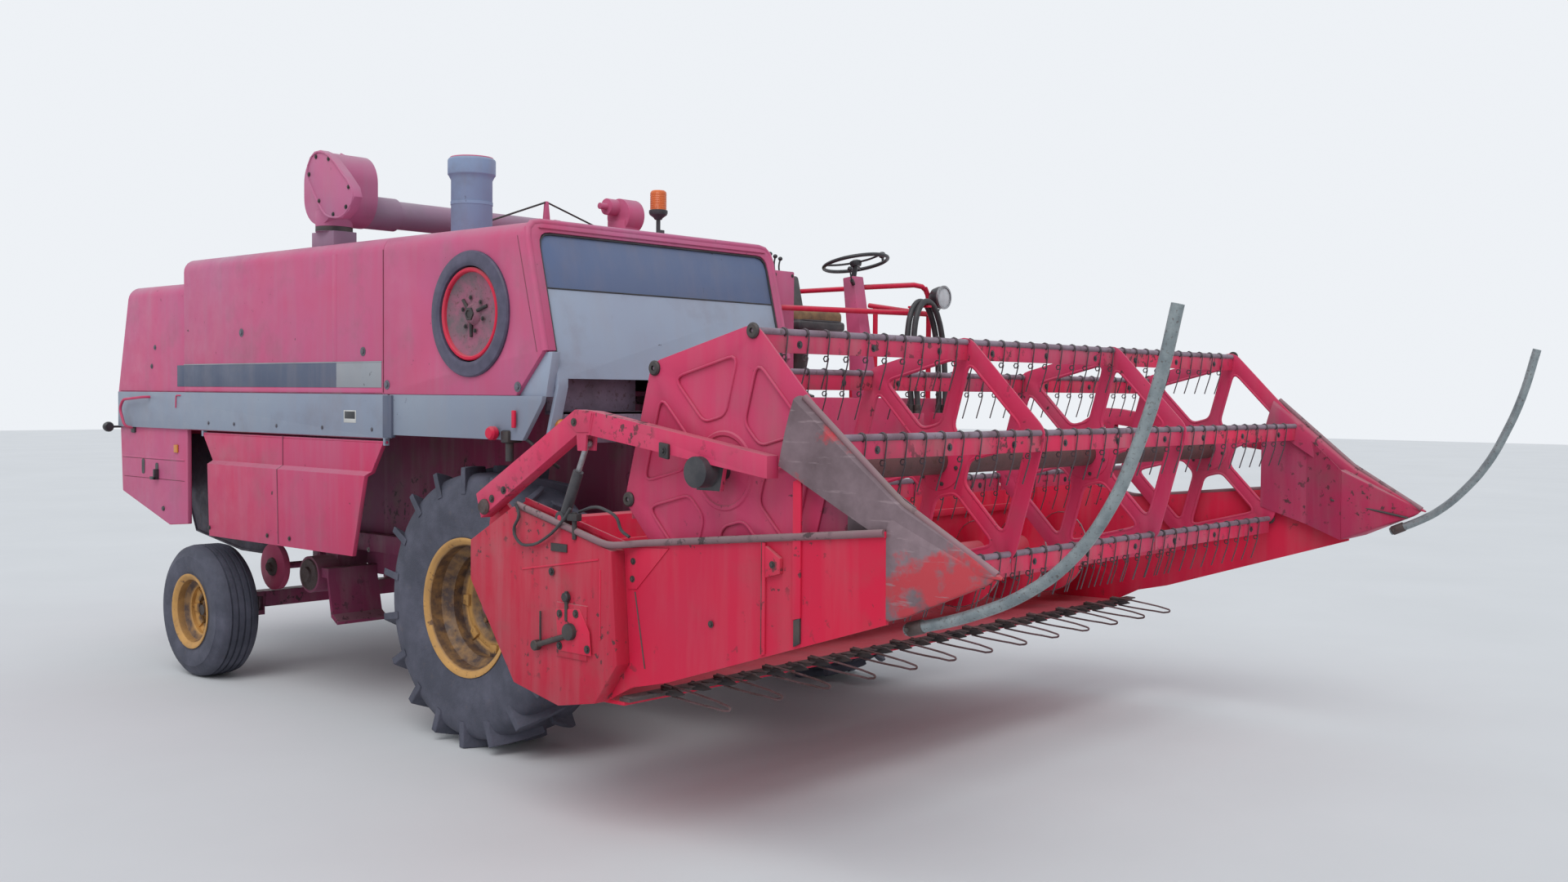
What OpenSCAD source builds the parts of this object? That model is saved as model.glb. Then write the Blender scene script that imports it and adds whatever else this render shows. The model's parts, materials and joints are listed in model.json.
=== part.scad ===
// Self-propelled combine harvester with a raised cutting header and a tined reel.
// Front is -Y, +Z is up, and the driver sits on the +X side. Lengths are millimetres.
// Every [y, z] and [x, z] place is measured from the front axle's ground point.

/* [Wheels] */
// Radius of the front tyres over the lugs
front_tyre_r = 715; // [700:1:730]
// Width of the front tyres
front_tyre_w = 446; // [420:1:450]
// Radius of the front rims at the flange
front_rim_r = 355; // [340:1:365]
// Distance from the middle to the middle of a front tyre
front_track_half = 1290; // [1285:1:1310]
// Height of the drive lugs above the tread
lug_h = 34; // [20:1:40]
// Drive lugs on each side of a front tyre
lug_count = 18; // [12:1:24]
// Radius of the rear tyres
rear_tyre_r = 415; // [400:1:420]
// Width of the rear tyres
rear_tyre_w = 280; // [250:1:290]
// Radius of the rear rims at the flange
rear_rim_r = 235; // [225:1:245]
// Distance from the middle to the middle of a rear tyre
rear_track_half = 1440; // [1430:1:1450]
// Distance between the axles
wheelbase = 2770; // [2765:1:2800]

/* [Body] */
// Half the width over the hood and the grain tank
hood_half_w = 1520; // [1515:1:1540]
// Height of the hood and the grain tank
hood_top = 2630; // [2600:1:2660]
// Height of the lower edge of the hood
hood_bottom = 1790; // [1785:1:1795]
// Radius of the long upper edges of the hood
edge_r = 80; // [50:1:100]
// Thickness of the sheet walls with their frames
wall_t = 30; // [25:1:35]
// Where the hood meets the operator's platform
hood_left_x = 240; // [200:1:260]
// Where the hood meets the grain tank
hood_rear_y = 690; // [680:1:700]
// How far the grain tank ends behind the rear axle
tank_past_axle = 170; // [150:1:190]
// Length of the straw hood behind the grain tank
straw_hood_l = 990; // [960:1:1020]
// Half the width of the threshing body
thresher_half_w = 690; // [640:1:690]
// Height of the lower edge of the side bands
band_bottom = 1555; // [1545:1:1565]
// Radius of the rotary air screen
screen_r = 315; // [280:1:320]
// Height of the air intake's cap
stack_top = 3085; // [3000:1:3150]

/* [Unloading tube] */
// Radius of the unloading tube
tube_r = 84; // [75:1:88]
// Height of the unloading tube's middle
tube_z = 2868; // [2866:1:2900]
// How far the tube reaches to the far side
tube_reach = 1350; // [1200:1:1450]

/* [Header] */
// Half the width between the outsides of the header's end sheets
header_half_w = 2050; // [2045:1:2060]
// Thickness of the header's sheets with their folds
sheet_t = 16; // [12:1:18]
// Height of the knife
knife_z = 600; // [598:1:602]
// How far the knife is ahead of the front axle
knife_ahead = 1830; // [1825:1:1840]
// Radius of the auger over its flights
auger_r = 235; // [220:1:240]
// Radius of the auger's tube
auger_tube_r = 120; // [90:1:140]
// Pitch of the auger's flights
auger_pitch = 450; // [400:1:500]
// Distance between the knife guards
guard_pitch = 152; // [140:1:180]

/* [Reel] */
// Radius from the reel's shaft to its bats
reel_r = 540; // [520:1:545]
// How far the reel's axle is ahead of the front axle
reel_ahead = 2310; // [2300:1:2320]
// Height of the reel's shaft
reel_z = 1520; // [1510:1:1530]
// Distance between the reel's tines
tine_pitch = 122; // [110:1:160]
// Length of the reel's tines below a bat
tine_l = 215; // [180:1:225]

/* [Hidden] */
$fn = 48;

// A running gap round a shaft, and a gap between round faces that turn together
run_gap = 0.05;
seat_gap = 0.3;

// Long bent tubes ahead of the dividers, as [y, z]
rod_path = [[-3160, 1018.5], [-3420, 1095], [-3640, 1195], [-3790, 1310], [-3915, 1470], [-4005, 1660],
    [-4080, 1880], [-4128, 2080]];
rod_tube_r = 20;
rod_end = rod_path[len(rod_path) - 1];
rod_rise = rod_end - rod_path[len(rod_path) - 2];

// Rear ends of the grain tank and of the straw hood
tank_rear_y = wheelbase + tank_past_axle;
rear_end_y = tank_rear_y + straw_hood_l;

// Front reach of the divider rods, and the shift that puts the origin under the middle of the whole
rod_end_ahead = -rod_end[0] + rod_tube_r * rod_rise[1] / norm(rod_rise);
axle_shift = (rod_end_ahead - rear_end_y) / 2;

// Places that several parts share, as [y, z]
front_axle_at = [0, front_tyre_r];
rear_axle_at = [wheelbase, rear_tyre_r];
header_pivot = [-350, 1350];
pivot_r = 40;
reel_pivot = [-1010, 1318];
reel_at = [-reel_ahead, reel_z];
knife_at = [-knife_ahead, knife_z];
auger_at = [knife_at[0] + 405, knife_at[1] + 268];
lift_foot = [-110, 540];
lift_eye = [-950, 575];
lift_x = 465;
eye_half = 19;
ear_t = 20;
ear_gap = 6;
lift_pin_r = 14;
ear_places = [lift_x - eye_half - ear_gap - ear_t, lift_x + eye_half + ear_gap];
reel_lift_foot = [-1500, 1300];
reel_lift_eye = [-1640, 1605];
reel_pivot_r = 20;
reel_lift_pin_r = 12;
auger_stub_r = 30;
first_bat_angle = 45.6;

// Front face of the hood: top, bulge and lower corner, as [y, z]
face_top = [-490, hood_top];
face_bulge = [-646, 2000];
face_low = [-443, hood_bottom];

module colour_red() { color([0.72, 0.06, 0.1]) children(); }
module colour_silver() { color([0.55, 0.56, 0.57]) children(); }
module colour_dark() { color([0.13, 0.13, 0.14]) children(); }
module colour_yellow() { color([0.83, 0.55, 0.2]) children(); }
module colour_grey() { color([0.5, 0.56, 0.58]) children(); }

// A sheet or block whose outline is [y, z] points, from x0 to x1
module along_x(x0, x1, points) {
    translate([x0, 0, 0]) rotate([90, 0, 90]) linear_extrude(x1 - x0) polygon(points);
}
// A block whose outline is [x, z] points, from y0 to y1
module along_y(y0, y1, points) {
    translate([0, y1, 0]) rotate([90, 0, 0]) linear_extrude(y1 - y0) polygon(points);
}
module block(low, high) { translate(low) cube(high - low); }
// A round bar along X at [y, z]
module bar_x(x0, x1, at, r) {
    translate([x0, at[0], at[1]]) rotate([0, 90, 0]) cylinder(h = x1 - x0, r = r);
}
// A round bar from p to q
module rod(p, q, r) {
    d = q - p;
    translate(p) rotate([0, acos(d[2] / norm(d)), atan2(d[1], d[0])]) cylinder(h = norm(d), r = r);
}
// A bent tube swept through [x, y, z] points. No stretch of it runs along the direction side.
module swept_tube(points, r, sides, side) {
    n = len(points);
    function ahead(i) = let (d = points[min(i + 1, n - 1)] - points[max(i - 1, 0)]) d / norm(d);
    rings = [for (i = [0 : n - 1]) for (k = [0 : sides - 1])
        let (a = 360 * k / sides, t = ahead(i), u = cross(side, t) / norm(cross(side, t)), v = cross(t, u))
        points[i] + r * (cos(a) * u + sin(a) * v)];
    walls = [for (i = [0 : n - 2]) for (k = [0 : sides - 1])
        let (a = i * sides + k, b = i * sides + (k + 1) % sides)
        each [[a, b + sides, b], [a, a + sides, b + sides]]];
    first = [for (k = [0 : sides - 1]) k];
    last = [for (k = [sides - 1 : -1 : 0]) (n - 1) * sides + k];
    polyhedron(points = rings, faces = concat(walls, [first, last]));
}
// A rail bent with short corners through a list of points
module tube_path(points, r) {
    n = len(points);
    bend = 4 * r;
    function toward(p, q) = p + bend * (q - p) / norm(q - p);
    swept_tube(concat([points[0]],
        [for (i = [1 : n - 2]) each [toward(points[i], points[i - 1]),
            (toward(points[i], points[i - 1]) + toward(points[i], points[i + 1]) + 2 * points[i]) / 4,
            toward(points[i], points[i + 1])]],
        [points[n - 1]]), r, 12, [1, 1, 1]);
}
module both_sides() {
    children();
    mirror([1, 0, 0]) children();
}
// A solid turned about a wheel's shaft: outline is [radius, distance outward]
module turned_x(at, outline) {
    translate([0, at[0], at[1]]) rotate([0, 90, 0]) rotate_extrude($fn = 72) polygon(outline);
}
module placed() { translate([0, axle_shift, 0]) children(); }
function slanted(t) = face_top + t * (face_bulge - face_top);
function along(a, b, t) = a + t * (b - a);
function arc(c, r, a0, a1, n) = [for (i = [0 : n]) c + r * [cos(a0 + (a1 - a0) * i / n),
    sin(a0 + (a1 - a0) * i / n)]];

// Wheels, drawn for the side where outward is +X, and mirrored for the right side

module tyre(at, r, w, bead_r, drop) {
    half = w / 2;
    turned_x(at, concat(
        [[bead_r, -half * 0.82], [bead_r + (r - bead_r) * 0.2, -half * 0.96]],
        [[bead_r + (r - bead_r) * 0.48, -half], [r - drop - 70, -half * 0.95],
        [r - drop - 22, -half * 0.86]],
        [[r - drop, -half * 0.62], [r - drop, half * 0.62]],
        [[r - drop - 22, half * 0.86], [r - drop - 70, half * 0.95], [bead_r + (r - bead_r) * 0.48, half]],
        [[bead_r + (r - bead_r) * 0.2, half * 0.96], [bead_r, half * 0.82]]));
}
// One slanted bar of the tread, from the middle to one shoulder
module lug(r, w) {
    half = w / 2;
    slant = 34;
    bar_w = 34;
    sink = 30;
    intersection() {
        translate([0, 0, r - lug_h - sink]) linear_extrude(lug_h + sink + 4)
            polygon([[-12, -bar_w / 2], [half + 6, tan(slant) * half - bar_w * 0.72],
                [half + 6, tan(slant) * half + bar_w * 0.62], [-12, bar_w / 2]]);
        rotate([0, 90, 0]) translate([0, 0, -14]) cylinder(h = half + 12, r = r, $fn = 72);
    }
}
module front_tyre() {
    colour_dark() union() {
        translate([front_track_half, 0, 0])
            tyre(front_axle_at, front_tyre_r, front_tyre_w, front_rim_r - 25 + seat_gap, lug_h);
        for (i = [0 : lug_count - 1]) translate([front_track_half, 0, front_tyre_r]) {
            rotate([i * 360 / lug_count, 0, 0]) lug(front_tyre_r, front_tyre_w);
            rotate([(i + 0.5) * 360 / lug_count, 0, 0]) mirror([1, 0, 0]) lug(front_tyre_r, front_tyre_w);
        }
    }
}
// A rim: flanges and well, dished disc, and a hub bored for the axle's stub
module rim(at, flange_r, w, hub_in, hub_r, stub_r) {
    seat_r = flange_r - 25;
    well_r = seat_r - 45;
    half = w * 0.41;
    wall = 12;
    side = [[seat_r - wall, half * 0.62], [seat_r - wall, half + 12], [flange_r - 8, half + 26],
        [flange_r, half + 26], [flange_r, half + 14], [seat_r, half + 1], [seat_r, half * 0.62]];
    turned_x(at, concat([[well_r - wall, half * 0.4]], side, [[well_r, half * 0.4], [well_r, -half * 0.4]],
        [for (i = [len(side) - 1 : -1 : 0]) [side[i][0], -side[i][1]]], [[well_r - wall, -half * 0.4]]));
    turned_x(at, [[hub_r - 5, -40], [hub_r - 5, -20], [well_r - wall / 2, 24], [well_r - wall / 2, 8]]);
    turned_x(at, [[stub_r + run_gap, -hub_in], [hub_r, -hub_in], [hub_r, 40], [stub_r + run_gap, 40]]);
}
module front_rim() {
    colour_yellow() translate([front_track_half, 0, 0])
        difference() {
            rim(front_axle_at, front_rim_r, front_tyre_w, 150, 105, 60);
            for (a = [0 : 60 : 300]) translate([-60, 0, front_tyre_r]) rotate([a, 0, 0])
                translate([0, 0, 200]) rotate([0, 90, 0]) cylinder(h = 120, r = 32);
        }
}
module rear_rim() {
    colour_yellow() translate([rear_track_half, 0, 0])
        rim(rear_axle_at, rear_rim_r, rear_tyre_w, 90, 60, rear_stub_r);
}
module rear_tyre() {
    colour_dark() translate([rear_track_half, 0, 0]) difference() {
        tyre(rear_axle_at, rear_tyre_r, rear_tyre_w, rear_rim_r - 25 + seat_gap, 0);
        for (x = [-60, -20, 20, 60])
            turned_x(rear_axle_at, [[rear_tyre_r - 9, x - 5], [rear_tyre_r + 5, x - 5],
                [rear_tyre_r + 5, x + 5], [rear_tyre_r - 9, x + 5]]);
    }
}

// Chassis and axles

rail_low = 790;
rail_high = 900;
rail_w = 60;
// How far the rails reach behind the rear axle, and the hitch pin's place in the tongue
rail_past_axle = 230;
hitch_y = wheelbase + 190;
tongue_end = 50;
hitch_r = 16;
module chassis_frame() {
    colour_red() {
        both_sides() block([thresher_half_w, -200, rail_low],
            [thresher_half_w + rail_w, wheelbase + rail_past_axle, rail_high]);
        block([-thresher_half_w, wheelbase - 70, rail_low], [thresher_half_w, wheelbase + 70, 880]);
        difference() {
            union() {
                block([-130, wheelbase - 70, 500], [130, wheelbase + 70, rail_low]);
                // Tongue of the towing hitch
                block([-50, wheelbase + 60, 520], [50, hitch_y + tongue_end, 560]);
            }
            translate([0, hitch_y, 510]) cylinder(h = 60, r = hitch_r);
        }
    }
}
drive_x = front_track_half - 150 - 190;
module front_axle() {
    colour_red() union() {
        block([-drive_x, -80, front_tyre_r - 75], [drive_x, 80, rail_low]);
        both_sides() {
            bar_x(drive_x - 60, front_track_half - 170, front_axle_at, 170);
            bar_x(front_track_half - 170, front_track_half + 55, front_axle_at, 60);
        }
        // Ears for the feet of the lift cylinders
        both_sides() for (x = ear_places)
            along_x(x, x + ear_t, [[-70, front_tyre_r - 70], [60, front_tyre_r - 70],
                [-60, lift_foot[1] - 45],
                [lift_foot[0] - 35, lift_foot[1] - 40], [lift_foot[0] - 45, lift_foot[1] + 20]]);
        both_sides() bar_x(ear_places[0], ear_places[1] + ear_t, lift_foot, lift_pin_r);
    }
}
king_x = 1160;
king_r = 26;
beam_low = 400;
fork_t = 30;
fork_low = beam_low - 52;
fork_high = beam_low + 70;
rear_stub_r = 32;
module rear_axle() {
    colour_red() {
        block([-king_x + 70, wheelbase - 55, beam_low], [king_x - 70, wheelbase + 55, 500]);
        both_sides() for (z = [fork_low, fork_high]) difference() {
            block([king_x - 70, wheelbase - 45, z], [king_x + 40, wheelbase + 45, z + fork_t]);
            translate([king_x, wheelbase, z - 1]) cylinder(h = fork_t + 2, r = king_r + run_gap);
        }
        // Closing webs between the beam and the fork
        both_sides() block([king_x - 70, wheelbase - 45, fork_low + fork_t],
            [king_x - 58, wheelbase + 45, fork_high]);
    }
}
module knuckle() {
    colour_dark() union() {
        translate([king_x, wheelbase, fork_low - 8])
            cylinder(h = fork_high - fork_low + fork_t + 16, r = king_r);
        translate([king_x, wheelbase, fork_low + fork_t + 6])
            cylinder(h = fork_high - fork_low - fork_t - 12, r = 46);
        bar_x(king_x, rear_track_half + 55, rear_axle_at, rear_stub_r);
        // Steering arm
        block([king_x - 20, wheelbase + 30, beam_low + 5], [king_x + 20, wheelbase + 210, beam_low + 35]);
    }
}

// Body

thresher_front = -420;
deck_t = 40;
body_top = hood_bottom - deck_t;
module threshing_body() {
    colour_red() union() {
        difference() {
            along_x(-thresher_half_w, thresher_half_w, [[thresher_front, body_top], [thresher_front, 1180],
                [-260, 860], [-200, 800], [450, 800], [560, 640], [wheelbase - 720, 640],
                [wheelbase - 420, 800],
                [wheelbase - 170, 884], [wheelbase + 10, 890], [tank_rear_y, 900],
                [tank_rear_y, body_top]]);
            // Room for the feeder's rear end, open below, and the bores of its pivots
            block([-thresher_half_w + wall_t, thresher_front - 10, 700],
                [thresher_half_w - wall_t, -150, 1560]);
            bar_x(-thresher_half_w - 1, thresher_half_w + 1, header_pivot, pivot_r + run_gap);
        }
        // Bearers under the hood and the grain tank
        block([-thresher_half_w, thresher_front + 40, body_top], [hood_left_x, hood_rear_y, hood_bottom]);
        block([-thresher_half_w, hood_rear_y, body_top], [thresher_half_w, tank_rear_y, hood_bottom]);
    }
}
// Outline across the hood with rounded upper edges, as [x, z]
function across(x0, x1, z0, z1, r) = concat([[x0, z0], [x1, z0]],
    arc([x1 - r, z1 - r], r, 0, 90, 6), arc([x0 + r, z1 - r], r, 90, 180, 6));
module hood_profile(x0, x1, inset) {
    along_x(x0, x1, [[hood_rear_y - inset, hood_bottom + inset], [face_low[0] + inset, face_low[1] + inset],
        [face_bulge[0] + inset * 1.2, face_bulge[1]], [face_top[0] + inset, face_top[1] - inset],
        [hood_rear_y - inset, face_top[1] - inset]]);
}
screen_at = [-83, 2195];
dish_r = 248;
panel_right_x = -hood_half_w + 70;
panel_left_x = hood_left_x - 60;
panel_top_t = 0.08;
// How far the front opening cuts into the hood's floor
floor_cut = 60;
module engine_hood() {
    colour_red() difference() {
        intersection() {
            hood_profile(-hood_half_w, hood_left_x, 0);
            along_y(-900, hood_rear_y, across(-hood_half_w, hood_left_x, hood_bottom, hood_top, edge_r));
        }
        hood_profile(-hood_half_w + wall_t, hood_left_x - wall_t, wall_t);
        // Front opening that the dash and front panels fill
        along_x(panel_right_x, panel_left_x,
            [slanted(panel_top_t) + [-40, 0], slanted(panel_top_t) + [60, 0],
            [face_low[0] + floor_cut, hood_bottom - 10], [face_bulge[0] - 40, hood_bottom - 10],
            slanted(1) + [-40, 0]]);
        // Round opening of the air screen
        bar_x(-hood_half_w - 10, -hood_half_w + wall_t + 10, screen_at, dish_r + seat_gap);
    }
}
// The two panels in the hood's front face, with a thin gap all round
dash_t = 0.51;
panel_gap = seat_gap;
seam_t = seat_gap / norm(face_bulge - face_top);
module face_plate(t0, t1, thick) {
    along_x(panel_right_x + panel_gap, panel_left_x - panel_gap,
        [slanted(t0), slanted(t1), slanted(t1) + [thick, 0], slanted(t0) + [thick, 0]]);
}
module dash_panel() { colour_dark() face_plate(panel_top_t + seam_t, dash_t, 24); }
apron_bottom = 1575;
notch_left_x = -820;
module front_panel() {
    low_face = slanted(1.2);
    colour_silver() union() {
        face_plate(dash_t + seam_t, 1.2, 24);
        // Lower apron beside the dark recess, and the strip that frames the recess
        along_x(notch_left_x, panel_left_x - panel_gap,
            [low_face, low_face + [0, -60], [-600, apron_bottom],
            [-576, apron_bottom], low_face + [24, -60], low_face + [24, 0]]);
        along_x(panel_right_x + panel_gap, panel_right_x + 62,
            [low_face, low_face + [0, -40], [-600, apron_bottom],
            [-576, apron_bottom], low_face + [24, -40], low_face + [24, 0]]);
        // Bearers back to the hood's floor
        for (x = [panel_right_x + 10, -600, -200, panel_left_x - 60])
            along_x(x, x + 30, [[low_face[0] + 20, hood_bottom], [low_face[0] + 20, hood_bottom + 40],
                [face_low[0] + 40, hood_bottom + 25], [face_low[0] + floor_cut - 1, hood_bottom]]);
    }
}
// Hinge of the side shields, as [x, z], and the stretch between its lugs
shield_hinge = [hood_half_w - 12, band_bottom - 22];
shield_y = [hood_rear_y + 5, tank_rear_y - 250];
shield_pin_r = 8;
lug_t = 22;
module side_bands() {
    colour_silver() {
        both_sides() difference() {
            union() {
                block([hood_half_w - wall_t, hood_rear_y - 38, band_bottom],
                    [hood_half_w, tank_rear_y, hood_bottom]);
                for (y = [shield_y[0] - lug_t, shield_y[1] + 2])
                    block([hood_half_w - 26, y, shield_hinge[1] - 16],
                        [hood_half_w, y + lug_t - 2, band_bottom]);
            }
            translate([shield_hinge[0], shield_y[0] - lug_t - 1, shield_hinge[1]]) rotate([-90, 0, 0])
                cylinder(h = shield_y[1] - shield_y[0] + 2 * lug_t + 2, r = shield_pin_r + run_gap);
        }
        both_sides() block([-hood_half_w, tank_rear_y, band_bottom],
            [-hood_half_w + 20, rear_end_y - 40, hood_bottom]);
        // The band ahead of the grain tank, on the engine's side only
        along_x(-hood_half_w + 4, -hood_half_w + wall_t, [[hood_rear_y - 52, band_bottom + 20],
            [hood_rear_y - 52, hood_bottom], [face_low[0] - 197, hood_bottom],
            [face_low[0] - 190, hood_bottom - 30], [face_low[0] - 47, band_bottom + 20]]);
    }
}
tank_floor_z = 1850;
mouth_x = [-1020, 1240];
module grain_tank() {
    colour_red() difference() {
        along_y(hood_rear_y, tank_rear_y, across(-hood_half_w, hood_half_w, hood_bottom, hood_top, edge_r));
        // Hopper with sloping sides under a roof that leaves the middle open
        along_y(hood_rear_y + wall_t, tank_rear_y - wall_t, [[-450, tank_floor_z], [450, tank_floor_z],
            [hood_half_w - 70, 2280], [hood_half_w - 70, hood_top - 40], [-hood_half_w + 70, hood_top - 40],
            [-hood_half_w + 70, 2280]]);
        block([mouth_x[0], hood_rear_y + 130, hood_top - 60],
            [mouth_x[1], tank_rear_y - 130, hood_top + 10]);
    }
}
straw_half_w = 1500;
straw_top = 2490;
straw_slope = 175;
// The strip of panel over the rear wheel's arch, under the side bands
arch_z = 1364;
arch_panel_top = band_bottom - 5;
arch_front_y = tank_rear_y - 220;
module straw_profile(x0, x1, t) {
    along_x(x0, x1, [[tank_rear_y + t, straw_top - t], [rear_end_y - straw_slope - t * 0.6, straw_top - t],
        [rear_end_y - t, hood_bottom], [rear_end_y - 30 - t, band_bottom], [rear_end_y - 56 - t, 1118],
        [tank_rear_y + 253, 928], [tank_rear_y - 15, 950], [tank_rear_y - 55, arch_z],
        [arch_front_y, arch_z], [arch_front_y, arch_panel_top], [tank_rear_y + t, arch_panel_top]]);
}
module straw_hood() {
    colour_red() difference() {
        intersection() {
            straw_profile(-straw_half_w, straw_half_w, 0);
            along_y(tank_rear_y, rear_end_y, across(-straw_half_w, straw_half_w, 900, straw_top, edge_r));
        }
        // Inside, open downwards where the straw falls out
        along_x(-straw_half_w + wall_t, straw_half_w - wall_t, [[tank_rear_y + wall_t, straw_top - wall_t],
            [rear_end_y - straw_slope - wall_t, straw_top - wall_t],
            [rear_end_y - wall_t * 1.6, hood_bottom],
            [rear_end_y - 30 - wall_t * 1.6, band_bottom], [rear_end_y - 56 - wall_t * 1.6, 1118],
            [rear_end_y - 56 - wall_t * 1.6, 900], [arch_front_y - 5, 900],
            [arch_front_y - 5, arch_panel_top + 5],
            [tank_rear_y + wall_t, arch_panel_top + 5]]);
    }
}
// Fixed ring on the hood's side, with a strap behind the opening that carries the rotor's stub shaft
screen_x = -hood_half_w;
rotor_stub_r = 20;
module air_screen() {
    colour_dark() {
        difference() {
            bar_x(screen_x - 26, screen_x, screen_at, screen_r);
            bar_x(screen_x - 27, screen_x + 1, screen_at, dish_r - 10);
        }
        union() {
            block([screen_x + wall_t, screen_at[0] - screen_r + 50, screen_at[1] - 30],
                [screen_x + wall_t + 12, screen_at[0] + screen_r - 50, screen_at[1] + 30]);
            bar_x(screen_x - 12, screen_x + wall_t + 6, screen_at, rotor_stub_r);
        }
    }
}
// Dished rotor of the air screen, in [radius, distance outward from the hood's side]
module screen_rotor() {
    outer = dish_r - 16;
    colour_red() mirror([1, 0, 0]) translate([-screen_x, 0, 0]) turned_x(screen_at,
        [[rotor_stub_r + run_gap, -26], [52, -26], [outer - 8, 2], [outer, 2], [outer, 12],
        [outer - 12, 12],
            [outer - 14, 7], [52, -20], [46, 6], [rotor_stub_r + run_gap, 6]]);
}
stack_at = [-1045, 560];
module intake_stack() {
    colour_grey() union() {
        translate([stack_at[0], stack_at[1], hood_top]) cylinder(h = stack_top - hood_top - 100, r = 112);
        translate([stack_at[0], stack_at[1], stack_top - 118]) cylinder(h = 28, r1 = 112, r2 = 128);
        translate([stack_at[0], stack_at[1], stack_top - 90]) cylinder(h = 90, r = 130);
    }
}
module engine_block() {
    colour_dark() block([-1240, -150, hood_bottom + wall_t], [-260, 500, 2420]);
}

// Operator's platform

deck_z = hood_bottom;
deck_front = -760;
deck_left = 1500;
deck_right = hood_left_x + 40;
column_x = 950;
module platform() {
    colour_red() union() {
        block([deck_right, deck_front, deck_z - deck_t], [deck_left, hood_rear_y - 40, deck_z]);
        block([deck_right, deck_front, apron_bottom], [deck_left, deck_front + 25, deck_z]);
        block([deck_left - 25, deck_front, apron_bottom], [deck_left, hood_rear_y - 40, deck_z]);
        // Sockets of the hoses
        for (x = [hose_path[0][0], hose_path[len(hose_path) - 1][0]])
            block([x - 30, hose_y[1] - 28, hose_path[0][1] - socket_h],
                [x + 38, deck_front + 5, hose_path[0][1]]);
        // Ladder at the left side, ahead of and outside the wheel
        for (y = [deck_front + 20, deck_front + 400])
            along_x(deck_left, deck_left + 150,
                [[y, deck_z - 60], [y + 25, deck_z - 60], [y + 25, deck_z], [y, deck_z]]);
        for (y = [deck_front + 20, deck_front + 400])
            block([deck_left + 110, y, 480], [deck_left + 150, y + 25, deck_z]);
        for (z = [480, 760, 1040, 1320, 1600])
            block([deck_left + 60, deck_front + 30, z], [deck_left + 170, deck_front + 410, z + 30]);
    }
}
// Pair of hoses that loop over a clip on the rail, between two sockets on the deck's front
hose_path = [[1186, 1700], [1186, 1760], [1174, 1850], [1158, 1950], [1146, 2050], [1142, 2140],
    [1150, 2220],
    [1170, 2290], [1205, 2345], [1255, 2375], [1310, 2368], [1355, 2330], [1392, 2270], [1420, 2200],
    [1442, 2110],
    [1456, 2010], [1464, 1910], [1470, 1800], [1470, 1700]];
hose_r = 18;
hose_y = [deck_front - 30, deck_front - 72];
socket_h = 80;
clip_x = [1262, 1294];
clip_z = 2352;
module hoses() {
    colour_dark() for (i = [0 : 1])
        swept_tube([for (p = hose_path) [p[0] + 8 * i, hose_y[i], p[1]]], hose_r, 12, [0, 1, 0]);
}
rail_r = 16;
module guard_rails() {
    post = [deck_left - 50, deck_front + 40];
    colour_red() union() {
        // Clip that carries the hoses, on its web
        block([clip_x[0], hose_y[1] - hose_r - 5, clip_z - 12], [clip_x[1], post[1] + 20, clip_z]);
        block([clip_x[0] + 8, post[1] - 14, 2300], [clip_x[1] - 8, post[1] + 18, clip_z - 6]);
        tube_path([[hood_left_x + 3, -545, 2300], [deck_left - 150, deck_front + 40, 2310],
            [post[0], post[1], 2310]], rail_r);
        bar_x(hood_left_x, hood_left_x + 8, [-542, 2300], 24);
        tube_path([[column_x + 59, -530, 2458], [post[0] - 60, post[1], 2490],
            [post[0], post[1], 2430], [post[0], post[1], deck_z]], rail_r);
        rod([post[0], post[1], 2310], [post[0], -250, 2380], rail_r);
        rod([post[0], post[1] + 420, deck_z], [post[0], post[1] + 420, 2360], rail_r);
        tube_path([[post[0], -110, deck_z], [post[0], -110, 2495], [post[0], 430, 2495],
            [post[0], 430, deck_z]], rail_r);
    }
}
seat_at = [column_x + 20, -60];
cushion_z = deck_z + 540;
module seat() {
    colour_dark() union() {
        translate([seat_at[0], seat_at[1], deck_z]) cylinder(h = 420, r = 60);
        block([seat_at[0] - 220, seat_at[1] - 210, cushion_z - 130],
            [seat_at[0] + 220, seat_at[1] + 190, cushion_z]);
        along_x(seat_at[0] - 210, seat_at[0] + 210, [[seat_at[1] + 110, cushion_z - 10],
            [seat_at[1] + 190, cushion_z - 10], [seat_at[1] + 240, cushion_z + 240],
            [seat_at[1] + 170, cushion_z + 250]]);
    }
}
wheel_at = [column_x, -540, 2600];
module steering() {
    colour_red() union() {
        along_x(column_x - 50, column_x + 50, [[-690, deck_z], [-560, deck_z], [-480, 2510], [-560, 2520]]);
        rod([column_x, -520, 2490], wheel_at, 16);
        translate(wheel_at) rotate([-12, 0, 0]) {
            rotate_extrude() translate([195, 0]) circle(r = 11, $fn = 16);
            for (a = [30 : 120 : 270]) rotate([0, 0, a]) translate([0, -7, -6]) cube([192, 14, 12]);
            cylinder(h = 24, r = 34, center = true);
        }
    }
}
console_x = [hood_left_x + 15, hood_left_x + 200];
module control_console() {
    colour_red() union() {
        block([console_x[0], -500, deck_z], [console_x[1], -260, 2515]);
        for (i = [0 : 3]) {
            // Lever with its knob
            translate([console_x[0] + 40 + i * 44, -400, 2505]) {
                cylinder(h = 116 - i * 11, r = 5);
                translate([0, 0, 112 - i * 11]) cylinder(h = 26, r = 14);
            }
        }
    }
}
beacon_at = [-310, -150];
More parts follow.
